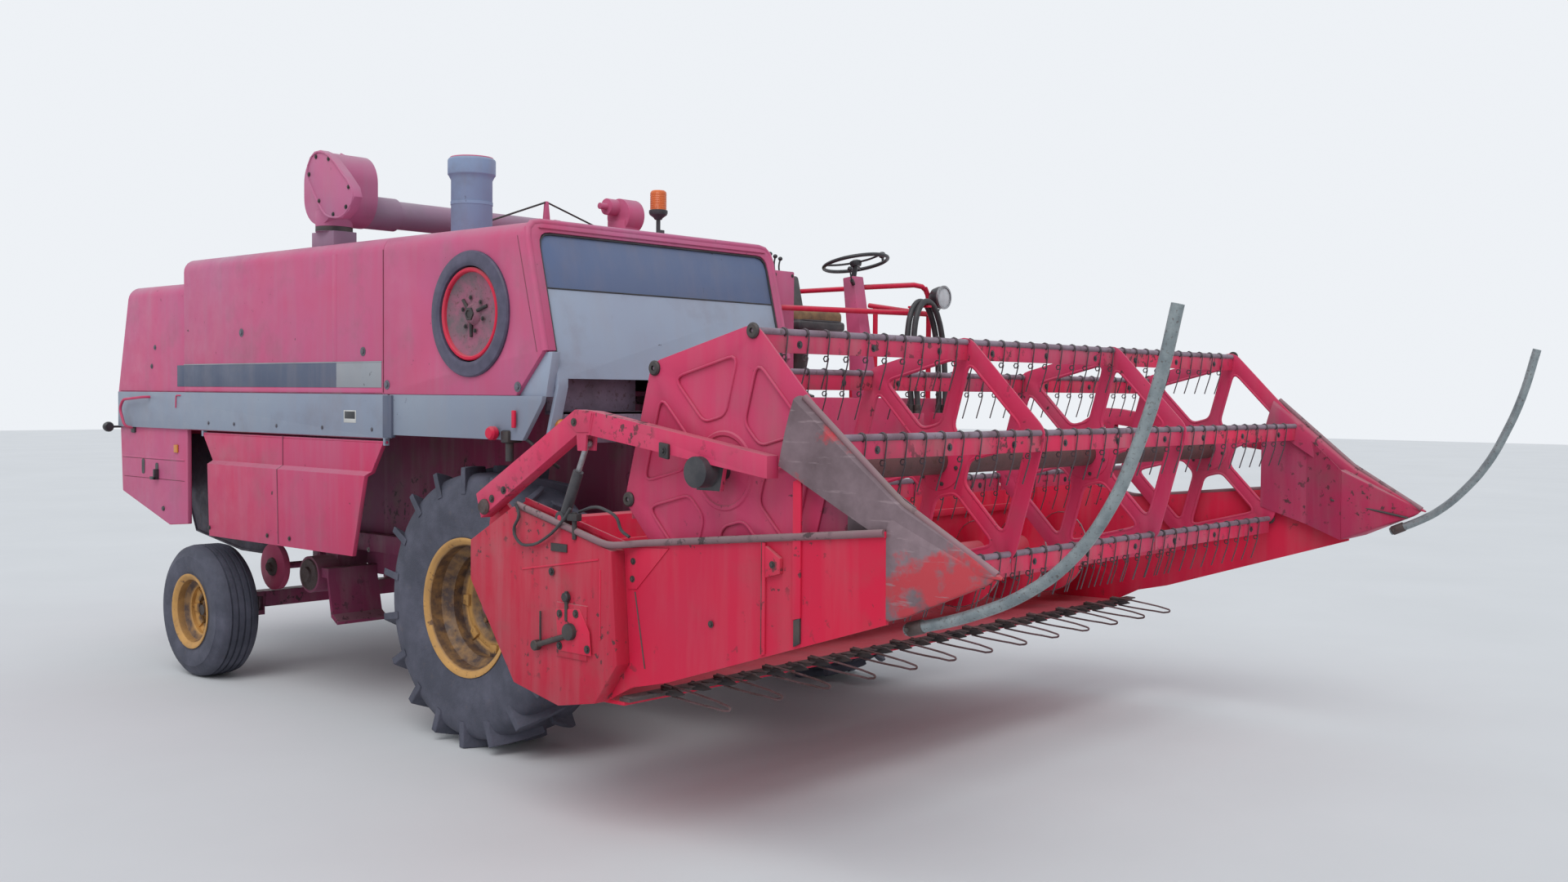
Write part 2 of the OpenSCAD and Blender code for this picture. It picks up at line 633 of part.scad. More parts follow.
module lamps() {
    colour_grey() {
        // Work lamp on the corner of the rail, hung on a short neck
        union() {
            translate([deck_left - 50, deck_front - 70, 2410]) rotate([-90, 0, 0]) cylinder(h = 90, r = 72);
            block([deck_left - 62, deck_front + 10, 2398], [deck_left - 38, deck_front + 24, 2422]);
        }
        // Flashing beacon on the hood
        union() {
            translate([beacon_at[0], beacon_at[1], hood_top]) cylinder(h = 150, r = 12);
            translate([beacon_at[0], beacon_at[1], hood_top + 140]) cylinder(h = 40, r = 52);
            translate([beacon_at[0], beacon_at[1], hood_top + 180]) cylinder(h = 120, r = 46);
        }
    }
}
// Head of the elevator that fills the tank, on its leg
module grain_elevator() {
    colour_red() union() {
        block([320, 830, tank_floor_z], [446, 990, 2900]);
        bar_x(330, 460, [900, 2935], 105);
        bar_x(255, 340, [930, 2985], 52);
        bar_x(200, 260, [930, 2985], 20);
    }
}
riser_y = [1443, 1679];
riser_x = [-1360, -1210];
tube_y = (riser_y[0] + riser_y[1]) / 2;
elbow_low = tube_z - 110;
module unloader_riser() {
    colour_red() union() {
        block([riser_x[0], riser_y[0], hood_top], [riser_x[1], riser_y[1], elbow_low - 30]);
        translate([(riser_x[0] + riser_x[1]) / 2, tube_y, elbow_low - 30])
            cylinder(h = 30 - seat_gap, r = 105);
    }
}
// Outline of the chain case beside the elbow, as [y, z] from the tube's middle
case_outline = [[57, 200], [20, 280], [-30, 309], [-97, 311], [-184, 280], [-325, 166], [-425, 75],
    [-447, 19],
    [-394, -52], [-325, -89], [-240, -89], [-148, -67], [-67, 12], [10, 110]];
module unloader_tube() {
    middle = (riser_x[0] + riser_x[1]) / 2;
    colour_red() union() {
        translate([middle, tube_y, elbow_low]) cylinder(h = 90, r = 105);
        along_x(middle - 145, middle - 93, [for (p = case_outline) [tube_y + p[0], tube_z + p[1]]]);
        // Rounded casing of the elbow
        hull() {
            bar_x(middle - 95, middle + 185, [tube_y, tube_z + 150], 168);
            bar_x(middle - 95, middle + 185, [tube_y, tube_z + 66], 168);
        }
        bar_x(middle + 180, tube_reach, [tube_y, tube_z], tube_r);
        bar_x(middle + 180, middle + 400, [tube_y, tube_z], tube_r + 14);
        // Spout at the end
        along_x(tube_reach - 200, tube_reach, [[tube_y - 75, tube_z], [tube_y - 65, tube_z - 190],
            [tube_y + 65, tube_z - 190], [tube_y + 75, tube_z]]);
    }
}
pulley_at = [wheelbase - 115, 665];
gear_at = [wheelbase - 540, 650];
spout_y = wheelbase - 730;
module underside_drive() {
    colour_red() union() {
        bar_x(-1075, -1035, pulley_at, 150);
        bar_x(-1035, -thresher_half_w - rail_w, pulley_at, 22);
        block([-760, pulley_at[0] - 45, 640], [-thresher_half_w - 5, pulley_at[0] + 45, rail_low]);
        // Gearbox and the sheet spout ahead of it
        bar_x(-1060, -900, gear_at, 115);
        block([-900, gear_at[0] - 70, 600], [-thresher_half_w, gear_at[0] + 70, rail_low]);
        along_x(-1040, -thresher_half_w, [[spout_y + 20, 640], [spout_y, 640], [spout_y - 50, 420],
            [spout_y - 110, 380], [spout_y - 100, 360], [spout_y - 30, 400]]);
        along_x(-1040, -thresher_half_w,
            [[spout_y + 80, 700], [spout_y, 700], [spout_y, 640], [spout_y + 80, 640]]);
    }
}

// Side shields, hinged at their upper edge

shield_top = shield_hinge[1] - 5;
shield_low = 905;
module shield() {
    outline = [[shield_y[1], shield_top], [shield_y[1] - 125, arch_z + 2], [shield_y[1] - 131, shield_low],
        [shield_y[0] + 251, shield_low], [shield_y[0] + 114, arch_z - 1], [shield_y[0], shield_top]];
    colour_red() union() {
        intersection() {
            along_y(shield_y[0] - 5, shield_y[1] + 5,
                [[hood_half_w - 24, shield_top], [hood_half_w, shield_top],
                [hood_half_w, 1372], [hood_half_w + 38, 1350], [hood_half_w + 30, shield_low],
                [hood_half_w + 6, shield_low],
                [hood_half_w + 14, 1344], [hood_half_w - 24, 1364]]);
            along_x(hood_half_w - 60, hood_half_w + 60, outline);
        }
        translate([shield_hinge[0], shield_y[0] - lug_t, shield_hinge[1]]) rotate([-90, 0, 0])
            cylinder(h = shield_y[1] - shield_y[0] + 2 * lug_t, r = shield_pin_r);
    }
}

// Header, drawn as it is parked: raised, so that its ends slope upwards to the front

back_y = -1150;
floor_z = knife_z - 28;
window_half = 560;
// Height of the feeder's upper front edge, under the beam along the header's back
feeder_top = 1100;
module header_back() {
    w = header_half_w - sheet_t;
    colour_red() difference() {
        along_x(-w, w, concat([[back_y, 1260], [back_y + sheet_t, 1260]],
            arc([back_y - 170, floor_z + 170], 170 + sheet_t, 0, -90, 8),
            [[knife_at[0] + 30, knife_z - 34], [knife_at[0] + 30, knife_z - 34 + sheet_t]],
            arc([back_y - 170, floor_z + 170], 170, -90, 0, 8)));
        // Window into the feeder
        block([-window_half, back_y - 60, floor_z + 84], [window_half, back_y + 60, feeder_top - 40]);
    }
    // Top beam along the back
    colour_red() block([-w, back_y + sheet_t, 1160], [w, back_y + sheet_t + 90, 1260]);
}
end_front = -3118;
end_outline = [[-900, 1180], [-1200, 1352], [-1830, 1210], [end_front, 1340], [end_front, 1037],
    [-2051, 694],
    [-1860, 650], [-1700, 570], [-1495, 530], [-1200, 590], [-900, 1000]];
module header_end() {
    colour_red() difference() {
        union() {
            along_x(header_half_w - sheet_t, header_half_w, end_outline);
            // Rail along the upper edge
            along_x(header_half_w - 4, header_half_w + 6,
                concat([for (i = [1, 2, 3]) end_outline[i] + [0, 12]],
                [for (i = [3, 2, 1]) end_outline[i] - [0, 10]]));
            // Ear and pin of the reel arm, and the pin of its lifting cylinder
            along_x(header_half_w - sheet_t, header_half_w, [[-935, 1180], [-965, 1340], [-1000, 1360],
                [-1040, 1350], [-1120, 1290], [-1100, 1250]]);
            bar_x(header_half_w - sheet_t, arm_x + arm_w + 6, reel_pivot, reel_pivot_r);
            bar_x(header_half_w - sheet_t, reel_lift_x + 26, reel_lift_foot, reel_lift_pin_r);
        }
        bar_x(header_half_w - sheet_t - 1, header_half_w + 1, auger_at, auger_stub_r + run_gap);
    }
}
// Drive box, its bearing plate and the stub shaft, out to the reel bearings' reach
box_out = 70;
plate_t = 8;
stub_l = 26;
module header_drive_box() {
    colour_red() union() {
        along_x(-header_half_w - box_out, -header_half_w, [[-905, 1170], [-1200, 1330], [-1815, 1190],
            [-1850, 744], [-1720, 576], [-1495, 535], [-1205, 592], [-905, 1000]]);
        // Bearing plate and lever on its face
        block([-header_half_w - box_out - plate_t, -1680, 740], [-header_half_w - box_out, -1490, 960]);
        bar_x(-header_half_w - box_out - plate_t - stub_l, -header_half_w - box_out - plate_t,
            [-1590, 850], 34);
    }
}
divider_tip = [-3540, 1221];
module divider_cone() {
    // Bent sheet nose: a sloping ridge with two flanks that meet at the tip
    hull() {
        translate([header_half_w + 6, -2746, 1740]) sphere(r = 44, $fn = 24);
        translate([header_half_w, -2700, 1600]) sphere(r = 30, $fn = 24);
        translate([header_half_w - 30, divider_tip[0] + 12, divider_tip[1] + 6]) sphere(r = 10, $fn = 16);
    }
    hull() {
        translate([header_half_w - 30, divider_tip[0] + 12, divider_tip[1]]) sphere(r = 10, $fn = 16);
        along_x(header_half_w - 90, header_half_w,
            [[end_front, 1440], [end_front, 1040], [end_front - 42, 1040],
            [end_front - 42, 1430]]);
    }
}
module dividers() {
    colour_red() both_sides() divider_cone();
}
// The left tube starts nearer the divider's tip, as [y, z]
left_rod_path = [[-3360, 1108], [-3500, 1172], [-3600, 1232], [-3720, 1342], [-3830, 1482], [-3915, 1645],
    [-3985, 1820], [-4050, 2060]];
module divider_rods() {
    x = header_half_w - 60;
    colour_grey() {
        swept_tube([for (p = rod_path) [-x, p[0], p[1]]], rod_tube_r, 12, [1, 0, 0]);
        swept_tube([for (p = left_rod_path) [x, p[0], p[1]]], rod_tube_r, 12, [1, 0, 0]);
    }
}
guard_half = 1900;
guard_steps = floor(guard_half / guard_pitch);
lifter_every = 2;
module guard_finger(x) {
    y = knife_at[0];
    translate([x, 0, 0]) along_x(-9, 9,
        [[y + 10, knife_z - 18], [y - 70, knife_z - 12], [y - 100, knife_z - 2],
        [y - 60, knife_z + 16], [y + 10, knife_z + 16]]);
}
module crop_lifter(x) {
    y = knife_at[0];
    z = knife_z;
    translate([x, 0, 0]) along_x(-5, 5,
        [[y - 40, z - 18], [y - 320, z - 32], [y - 352, z - 24], [y - 352, z - 8],
        [y - 40, z + 24], [y - 40, z + 14], [y - 338, z - 16], [y - 320, z - 22], [y - 40, z - 8]]);
}
module cutter_bar() {
    y = knife_at[0];
    w = header_half_w - sheet_t;
    colour_dark() union() {
        block([-w, y, knife_z - 18], [w, y + 60, knife_z - 2]);
        block([-w, y - 20, knife_z - 2], [w, y + 40, knife_z + 6]);
        for (i = [-guard_steps : guard_steps]) guard_finger(i * guard_pitch);
        for (i = [-guard_steps : lifter_every : guard_steps]) crop_lifter(i * guard_pitch);
    }
}
feeder_half_w = 600;
module feeder_house() {
    low_front = [back_y + sheet_t, floor_z + 50];
    high_front = [back_y + sheet_t, feeder_top];
    outer = [low_front, [-900, 620], [-460, 900], [-300, 1080], [-220, 1250], [-250, 1440], [-350, 1500],
        [-480, 1500], high_front];
    inner = [low_front + [-20, 30], [-905, 652], [-480, 930], [-330, 1100], [-190, 1200], [-190, 1400],
        [-360, 1470], [-480, 1468], high_front + [-20, -32]];
    colour_red() union() {
        difference() {
            along_x(-feeder_half_w, feeder_half_w, outer);
            along_x(-feeder_half_w + wall_t, feeder_half_w - wall_t, inner);
        }
        both_sides() bar_x(feeder_half_w, thresher_half_w, header_pivot, pivot_r);
        // Ears under the floor for the lift rods' eyes
        both_sides() for (x = ear_places)
            along_x(x, x + ear_t, [[lift_eye[0] - 60, 626], [lift_eye[0] + 70, 634],
                [lift_eye[0] + 36, lift_eye[1] - 36],
                [lift_eye[0] - 36, lift_eye[1] - 36]]);
    }
}
auger_half = header_half_w - sheet_t - 8;
function ring(x, r0, r1, a, t) = [
    [x, r0 * cos(a), r0 * sin(a)], [x, r1 * cos(a), r1 * sin(a)],
    [x + t, r1 * cos(a), r1 * sin(a)], [x + t, r0 * cos(a), r0 * sin(a)]];
module flight(x0, turns) {
    steps = 20;
    n = round(turns * steps);
    pts = [for (i = [0 : n]) each ring(x0 + i / steps * auger_pitch, auger_tube_r - 6, auger_r,
        i * 360 / steps, 8)];
    sides = [for (i = [0 : n - 1]) for (k = [0 : 3]) let (a = 4 * i + k, b = 4 * i + (k + 1) % 4)
        each [[a, b, b + 4], [a, b + 4, a + 4]]];
    ends = [[3, 2, 1, 0], [4 * n, 4 * n + 1, 4 * n + 2, 4 * n + 3]];
    polyhedron(points = pts, faces = concat(sides, ends), convexity = 10);
}
module header_auger() {
    turns = (auger_half - 420) / auger_pitch;
    colour_red() union() {
        bar_x(-auger_half, auger_half, auger_at, auger_tube_r);
        bar_x(-header_half_w + 1, header_half_w - 1, auger_at, auger_stub_r);
        translate([0, auger_at[0], auger_at[1]]) {
            flight(-auger_half + 20, turns);
            mirror([1, 0, 0]) flight(-auger_half + 20, turns);
            // Fingers that feed the crop through the window
            for (i = [-3 : 3]) rotate([i * 103, 0, 0]) translate([i * 110, 0, 0])
                cylinder(h = auger_r - 12, r = 8);
        }
    }
}

// Reel

arm_x = header_half_w + 14;
arm_w = 60;
bearing_plate_t = 20;
reel_shaft_r = 34;
shaft_in = 35;
module arm(x0) {
    top = [[-950, 1370], [-1600, 1740], [-1700, 1735], [-2640, 1590], [-2640, 1510], [-1690, 1640],
        [-1610, 1640], [-985, 1270]];
    along_x(x0, x0 + arm_w, top);
}
module reel_arms() {
    colour_red() {
        both_sides() difference() {
            union() {
                arm(arm_x);
                // Bearing plate and bearing at the reel's shaft
                along_x(arm_x, arm_x + bearing_plate_t, [[-reel_ahead - 90, 1590], [-reel_ahead + 90, 1600],
                    [-reel_ahead + 60, reel_z - 70], [-reel_ahead - 60, reel_z - 70]]);
                bar_x(arm_x + bearing_plate_t, arm_x + 90, reel_at, 58);
                // Stub axle that reaches into the reel's tube
                bar_x(disc_x + disc_t - shaft_in, arm_x + bearing_plate_t + 5, reel_at, reel_shaft_r);
                // Ears on both sides of the lifting rod's eye
                for (x = [arm_x, arm_x + arm_w - 10])
                    along_x(x, x + 10, [[reel_lift_eye[0] - 30, 1645], [reel_lift_eye[0] + 30, 1645],
                        [reel_lift_eye[0] + 24, reel_lift_eye[1] - 28],
                        [reel_lift_eye[0] - 24, reel_lift_eye[1] - 28]]);
            }
            bar_x(arm_x - 1, arm_x + arm_w + 1, reel_pivot, reel_pivot_r + run_gap);
        }
    }
}
disc_x = header_half_w - sheet_t - 44;
disc_t = 10;
spider_x = 640;
function bat_at(i) = reel_at + reel_r * [cos(first_bat_angle + 60 * i), sin(first_bat_angle + 60 * i)];
bat_pin_r = 9;
// Hexagon outline of a reel end, with its corners ahead of the bats' pins
module hexagon(r) {
    polygon([for (i = [0 : 5]) r * [cos(first_bat_angle + 60 * i), sin(first_bat_angle + 60 * i)]]);
}
module at_reel(x, t) {
    translate([x, reel_at[0], reel_at[1]]) rotate([90, 0, 90]) linear_extrude(t) children();
}
module bat_holes() {
    for (i = [0 : 5]) rotate([0, 0, first_bat_angle + 60 * i]) translate([reel_r, 0])
        circle(r = bat_pin_r + run_gap);
}
module spider(x) {
    at_reel(x, disc_t) difference() {
        union() {
            difference() {
                hexagon(reel_r + 28);
                hexagon(reel_r - 62);
            }
            for (i = [0 : 5]) rotate([0, 0, first_bat_angle + 60 * i]) translate([60, -26])
                square([reel_r - 90, 52]);
            circle(r = 130);
        }
        bat_holes();
    }
}
module reel() {
    colour_red() difference() {
        union() {
            bar_x(-disc_x, disc_x, reel_at, 62);
            // Closed sheet end on the right, open spiders elsewhere
            at_reel(-disc_x - disc_t, disc_t) difference() {
                hexagon(reel_r + 28);
                bat_holes();
            }
            for (x = [-spider_x, spider_x, disc_x]) spider(x);
        }
        both_sides() bar_x(disc_x + disc_t - shaft_in - 5, disc_x + disc_t + 1, reel_at,
            reel_shaft_r + run_gap);
    }
}
module bat(i) {
    at = bat_at(i);
    slat = [[10, 0], [-6, -12], [-6, -78], [4, -78], [22, -8]];
    tines = floor((disc_x - 60) / tine_pitch);
    spans = [[-disc_x + 4, -spider_x - 4], [-spider_x + disc_t + 4, spider_x - 4],
        [spider_x + disc_t + 4, disc_x - 4]];
    colour_red() union() {
        // Pin right through the spiders, tube and slat between them
        bar_x(-disc_x - disc_t - 6, disc_x + disc_t + 6, at, bat_pin_r);
        for (s = spans) {
            bar_x(s[0], s[1], at, 17);
            along_x(s[0], s[1], [for (p = slat) at + p]);
        }
        for (k = [-tines : tines]) translate([k * tine_pitch, at[0], at[1]])
            if (abs(abs(k * tine_pitch) - spider_x - disc_t / 2) > 20)
                along_x(-3, 3, [[-12, 10], [-18, 8], [-16, -60], [26, -tine_l], [33, -tine_l], [-8, -60]]);
    }
}

// Cylinders, each opened at its rod's eye

barrel_r = 34;
stem_r = 16;
module lift_barrels() {
    u = (lift_eye - lift_foot) / norm(lift_eye - lift_foot);
    neck = lift_foot + u * 62;
    end = lift_foot + u * 520;
    bore = lift_foot + u * 80;
    colour_dark() both_sides() difference() {
        union() {
            rod([lift_x, lift_foot[0], lift_foot[1]], [lift_x, neck[0], neck[1]], 18);
            rod([lift_x, neck[0], neck[1]], [lift_x, end[0], end[1]], barrel_r);
            bar_x(lift_x - eye_half, lift_x + eye_half, lift_foot, 30);
        }
        bar_x(lift_x - 60, lift_x + 60, lift_foot, lift_pin_r + run_gap);
        rod([lift_x, bore[0], bore[1]], [lift_x, end[0] + u[0], end[1] + u[1]], stem_r + run_gap);
    }
}
module lift_rods() {
    u = (lift_eye - lift_foot) / norm(lift_eye - lift_foot);
    start = lift_foot + u * 370;
    colour_grey() both_sides() {
        rod([lift_x, start[0], start[1]], [lift_x, lift_eye[0], lift_eye[1]], stem_r);
        bar_x(lift_x - eye_half, lift_x + eye_half, lift_eye, 26);
    }
}
reel_lift_x = arm_x + arm_w / 2;
reel_stem_r = 12;
module reel_barrels() {
    u = (reel_lift_eye - reel_lift_foot) / norm(reel_lift_eye - reel_lift_foot);
    end = reel_lift_foot + u * 210;
    bore = reel_lift_foot + u * 30;
    colour_dark() both_sides() difference() {
        union() {
            rod([reel_lift_x, reel_lift_foot[0], reel_lift_foot[1]], [reel_lift_x, end[0], end[1]], 22);
            bar_x(reel_lift_x - 26, reel_lift_x + 26, reel_lift_foot, 27);
        }
        bar_x(reel_lift_x - 30, reel_lift_x + 30, reel_lift_foot, reel_lift_pin_r + run_gap);
        rod([reel_lift_x, bore[0], bore[1]], [reel_lift_x, end[0] + u[0], end[1] + u[1]],
            reel_stem_r + run_gap);
    }
}
module reel_rods() {
    u = (reel_lift_eye - reel_lift_foot) / norm(reel_lift_eye - reel_lift_foot);
    start = reel_lift_foot + u * 75;
    colour_grey() both_sides() {
        rod([reel_lift_x, start[0], start[1]], [reel_lift_x, reel_lift_eye[0], reel_lift_eye[1]],
            reel_stem_r);
        bar_x(reel_lift_x - 14, reel_lift_x + 14, reel_lift_eye, 18);
    }
}

placed() chassis_frame();
placed() front_axle();
placed() rear_axle();
placed() threshing_body();
placed() engine_hood();
placed() grain_tank();
placed() straw_hood();
placed() front_panel();
placed() dash_panel();
placed() side_bands();
placed() air_screen();
placed() intake_stack();
placed() engine_block();
placed() hoses();
placed() platform();
placed() guard_rails();
placed() seat();
placed() steering();
placed() control_console();
placed() lamps();
placed() grain_elevator();
placed() unloader_riser();
placed() underside_drive();
placed() screen_rotor();
placed() unloader_tube();
placed() mirror([1, 0, 0]) front_rim();  // front_rim_right
placed() front_rim();  // front_rim_left
placed() mirror([1, 0, 0]) front_tyre();  // front_tyre_right
placed() front_tyre();  // front_tyre_left
placed() mirror([1, 0, 0]) knuckle();  // knuckle_right
placed() knuckle();  // knuckle_left
placed() mirror([1, 0, 0]) rear_rim();  // rear_rim_right
placed() rear_rim();  // rear_rim_left
placed() mirror([1, 0, 0]) rear_tyre();  // rear_tyre_right
placed() rear_tyre();  // rear_tyre_left
placed() mirror([1, 0, 0]) shield();  // shield_right
placed() shield();  // shield_left
placed() header_back();
placed() mirror([1, 0, 0]) header_end();  // header_end_right
placed() header_end();  // header_end_left
placed() header_drive_box();
placed() dividers();
placed() divider_rods();
placed() cutter_bar();
placed() feeder_house();
placed() header_auger();
placed() reel_arms();
placed() reel();
placed() bat(0);  // bat_1
placed() bat(1);  // bat_2
placed() bat(2);  // bat_3
placed() bat(3);  // bat_4
placed() bat(4);  // bat_5
placed() bat(5);  // bat_6
placed() lift_barrels();
placed() lift_rods();
placed() reel_barrels();
placed() reel_rods();
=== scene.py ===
# Combine harvester with a raised header: finishes, tyres, tines, fittings and the studio round it.
import json
import math
from contextlib import contextmanager

import bpy
from mathutils import Matrix, Vector

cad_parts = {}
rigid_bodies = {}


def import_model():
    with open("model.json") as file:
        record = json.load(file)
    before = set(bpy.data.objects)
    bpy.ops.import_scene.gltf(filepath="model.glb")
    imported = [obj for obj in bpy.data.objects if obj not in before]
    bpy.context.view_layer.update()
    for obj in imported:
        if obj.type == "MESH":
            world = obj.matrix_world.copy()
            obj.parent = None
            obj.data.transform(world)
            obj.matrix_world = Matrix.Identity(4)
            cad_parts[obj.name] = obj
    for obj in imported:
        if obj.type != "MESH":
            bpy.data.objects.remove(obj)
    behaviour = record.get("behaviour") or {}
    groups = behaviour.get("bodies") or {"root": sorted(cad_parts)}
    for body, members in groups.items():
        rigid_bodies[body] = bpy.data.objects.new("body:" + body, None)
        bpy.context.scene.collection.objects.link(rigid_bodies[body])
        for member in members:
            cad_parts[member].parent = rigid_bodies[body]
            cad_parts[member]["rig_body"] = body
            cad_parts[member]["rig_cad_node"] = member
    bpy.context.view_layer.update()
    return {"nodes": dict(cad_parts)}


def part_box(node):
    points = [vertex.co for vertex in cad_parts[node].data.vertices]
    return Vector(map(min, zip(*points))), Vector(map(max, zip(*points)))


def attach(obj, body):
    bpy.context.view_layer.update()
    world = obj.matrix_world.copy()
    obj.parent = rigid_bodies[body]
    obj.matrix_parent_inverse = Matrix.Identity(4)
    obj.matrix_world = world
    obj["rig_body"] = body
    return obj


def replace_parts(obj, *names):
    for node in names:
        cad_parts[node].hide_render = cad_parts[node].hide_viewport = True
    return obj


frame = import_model()

# Places are measured in metres from the ground under the front axle, and moved to the frame at the end
rim_low, rim_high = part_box("front_rim_right")
AXLE_Y = (rim_low.y + rim_high.y) / 2
AXLE_Z = (rim_low.z + rim_high.z) / 2
SHIFT = Vector((0, AXLE_Y, 0))


def span(node):
    """Lowest and highest corner of a solid, measured from the ground under the front axle."""
    low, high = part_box(node)
    return low - SHIFT, high - SHIFT


RIGHT = -1
LEFT = 1
OUT_RIGHT = Vector((-1, 0, 0))
OUT_LEFT = Vector((1, 0, 0))
UP = Vector((0, 0, 1))
AHEAD = Vector((0, -1, 0))


# Camera

CAMERA_AT = Vector((-5.922, -6.114, 1.808))
CAMERA_TURN = (88.17, -0.46, -48.2)
CAMERA_LENS = 33.61


def make_camera():
    """The photograph's view, from the right front corner, a little above a standing eye."""
    data = bpy.data.cameras.new("camera")
    data.sensor_width = 36
    data.lens = CAMERA_LENS
    camera = bpy.data.objects.new("camera", data)
    camera.location = CAMERA_AT + SHIFT
    camera.rotation_euler = [math.radians(a) for a in CAMERA_TURN]
    bpy.context.scene.collection.objects.link(camera)
    bpy.context.scene.camera = camera


# Modelling by hand, in words

def only(piece):
    """Selects this piece and no other."""
    bpy.ops.object.select_all(action="DESELECT")
    piece.select_set(True)
    bpy.context.view_layer.objects.active = piece


@contextmanager
def editing(piece):
    """Edit mode on one piece, with all of it selected."""
    only(piece)
    bpy.ops.object.mode_set(mode="EDIT")
    bpy.ops.mesh.select_all(action="SELECT")
    yield
    bpy.ops.object.mode_set(mode="OBJECT")


def modify(piece, kind, **settings):
    """Adds a modifier with these settings and applies it."""
    modifier = piece.modifiers.new(kind.title(), kind)
    for word, value in settings.items():
        setattr(modifier, word, value)
    only(piece)
    bpy.ops.object.modifier_apply(modifier=modifier.name)
    return piece


def round_edges(piece, width, segments=2, angle=35):
    """Rounds the edges that bend by more than angle, in degrees."""
    if width:
        modify(piece, "BEVEL", width=width, segments=segments, limit_method="ANGLE",
               angle_limit=math.radians(angle), use_clamp_overlap=True)
    return piece


def plate(corners, depth, edge=0.0):
    """A sheet or block: its corners lie in one plane, and depth is the way it is extruded."""
    bpy.ops.mesh.primitive_circle_add(vertices=len(corners), fill_type="NGON")
    piece = bpy.context.active_object
    for vertex, corner in zip(piece.data.vertices, corners):
        vertex.co = corner
    with editing(piece):
        bpy.ops.mesh.extrude_region_move(TRANSFORM_OT_translate={"value": Vector(depth)})
        bpy.ops.mesh.select_all(action="SELECT")
        bpy.ops.mesh.normals_make_consistent(inside=False)
    return round_edges(piece, edge)


def plate_x(points, x0, x1, edge=0.0):
    """A plate across X, whose outline is [y, z] points."""
    return plate([(x0, y, z) for y, z in points], (x1 - x0, 0, 0), edge)


def plate_y(points, y0, y1, edge=0.0):
    """A plate across Y, whose outline is [x, z] points."""
    return plate([(x, y0, z) for x, z in points], (0, y1 - y0, 0), edge)


def block(low, high, edge=0.0):
    """A box from its lowest to its highest corner."""
    (x0, y0, z0), (x1, y1, z1) = low, high
    return plate([(x0, y0, z0), (x1, y0, z0), (x1, y1, z0), (x0, y1, z0)], (0, 0, z1 - z0), edge)


def moved(piece, at, toward=UP):
    """Puts a piece made round Z at the origin where it belongs, with its Z turned to point toward."""
    turn = Vector(toward).to_track_quat("Z", "Y").to_matrix().to_4x4()
    piece.matrix_world = Matrix.Translation(Vector(at)) @ turn
    only(piece)
    bpy.ops.object.transform_apply(location=True, rotation=True, scale=True)
    return piece


def lathe(profile, at, toward=UP, steps=32):
    """A shape turned about an axis: profile is a closed outline of [radius, distance along the axis]."""
    bpy.ops.mesh.primitive_circle_add(vertices=len(profile), fill_type="NOTHING")
    piece = bpy.context.active_object
    for vertex, (radius, along) in zip(piece.data.vertices, profile):
        vertex.co = (radius, 0, along)
    with editing(piece):
        bpy.ops.mesh.spin(steps=steps, angle=2 * math.pi, center=(0, 0, 0), axis=(0, 0, 1))
        bpy.ops.mesh.select_all(action="SELECT")
        bpy.ops.mesh.remove_doubles(threshold=0.00005)
        bpy.ops.mesh.normals_make_consistent(inside=False)
    return moved(piece, at, toward)


def bar(p, q, radius, steps=16, edge=0.002):
    """A round bar between two points, with its end edges broken."""
    p, q = Vector(p), Vector(q)
    length = (q - p).length
    return lathe([(0, 0), (radius - edge, 0), (radius, edge), (radius, length - edge),
                  (radius - edge, length), (0, length)], p, q - p, steps)


def pipe(points, radius, sides=8, bend="AUTO", cuts=4, closed=False):
    """A wire or hose along a curve through points."""
    bpy.ops.curve.primitive_bezier_curve_add()
    wire = bpy.context.active_object
    spline = wire.data.splines[0]
    spline.bezier_points.add(len(points) - 2)
    for knot, point in zip(spline.bezier_points, points):
        knot.co = point
        knot.handle_left_type = knot.handle_right_type = bend
    spline.use_cyclic_u = closed
    wire.data.bevel_depth = radius
    wire.data.bevel_resolution = sides // 2 - 2
    wire.data.resolution_u = cuts
    wire.data.use_fill_caps = not closed
    only(wire)
    bpy.ops.object.convert(target="MESH")
    return bpy.context.active_object


def rounded(points, bend):
    """The same path with each corner cut by a short curve that starts a bend's length before it."""
    points = [Vector(p) for p in points]
    path = [points[0]]
    for before, corner, after in zip(points, points[1:], points[2:]):
        start = corner + (before - corner).normalized() * bend
        end = corner + (after - corner).normalized() * bend
        for t in (0, 0.33, 0.67, 1):
            path.append((1 - t) ** 2 * start + 2 * t * (1 - t) * corner + t * t * end)
    return path + [points[-1]]


def tube(points, radius, bend=0.08, sides=12):
    """A rail of straight lengths with bent corners."""
    return pipe(rounded(points, bend), radius, sides, "VECTOR", 1)


def ribbon(cuts, rule):
    """A bar cut across many times, whose corners go where rule(along, across, up) says."""
    bpy.ops.mesh.primitive_grid_add(x_subdivisions=cuts, y_subdivisions=1, size=1)
    piece = bpy.context.active_object
    with editing(piece):
        bpy.ops.mesh.extrude_region_move(TRANSFORM_OT_translate={"value": Vector((0, 0, 1))})
    for vertex in piece.data.vertices:
        vertex.co = rule(vertex.co.x + 0.5, vertex.co.y * 2, vertex.co.z)
    with editing(piece):
        bpy.ops.mesh.normals_make_consistent(inside=False)
    return piece


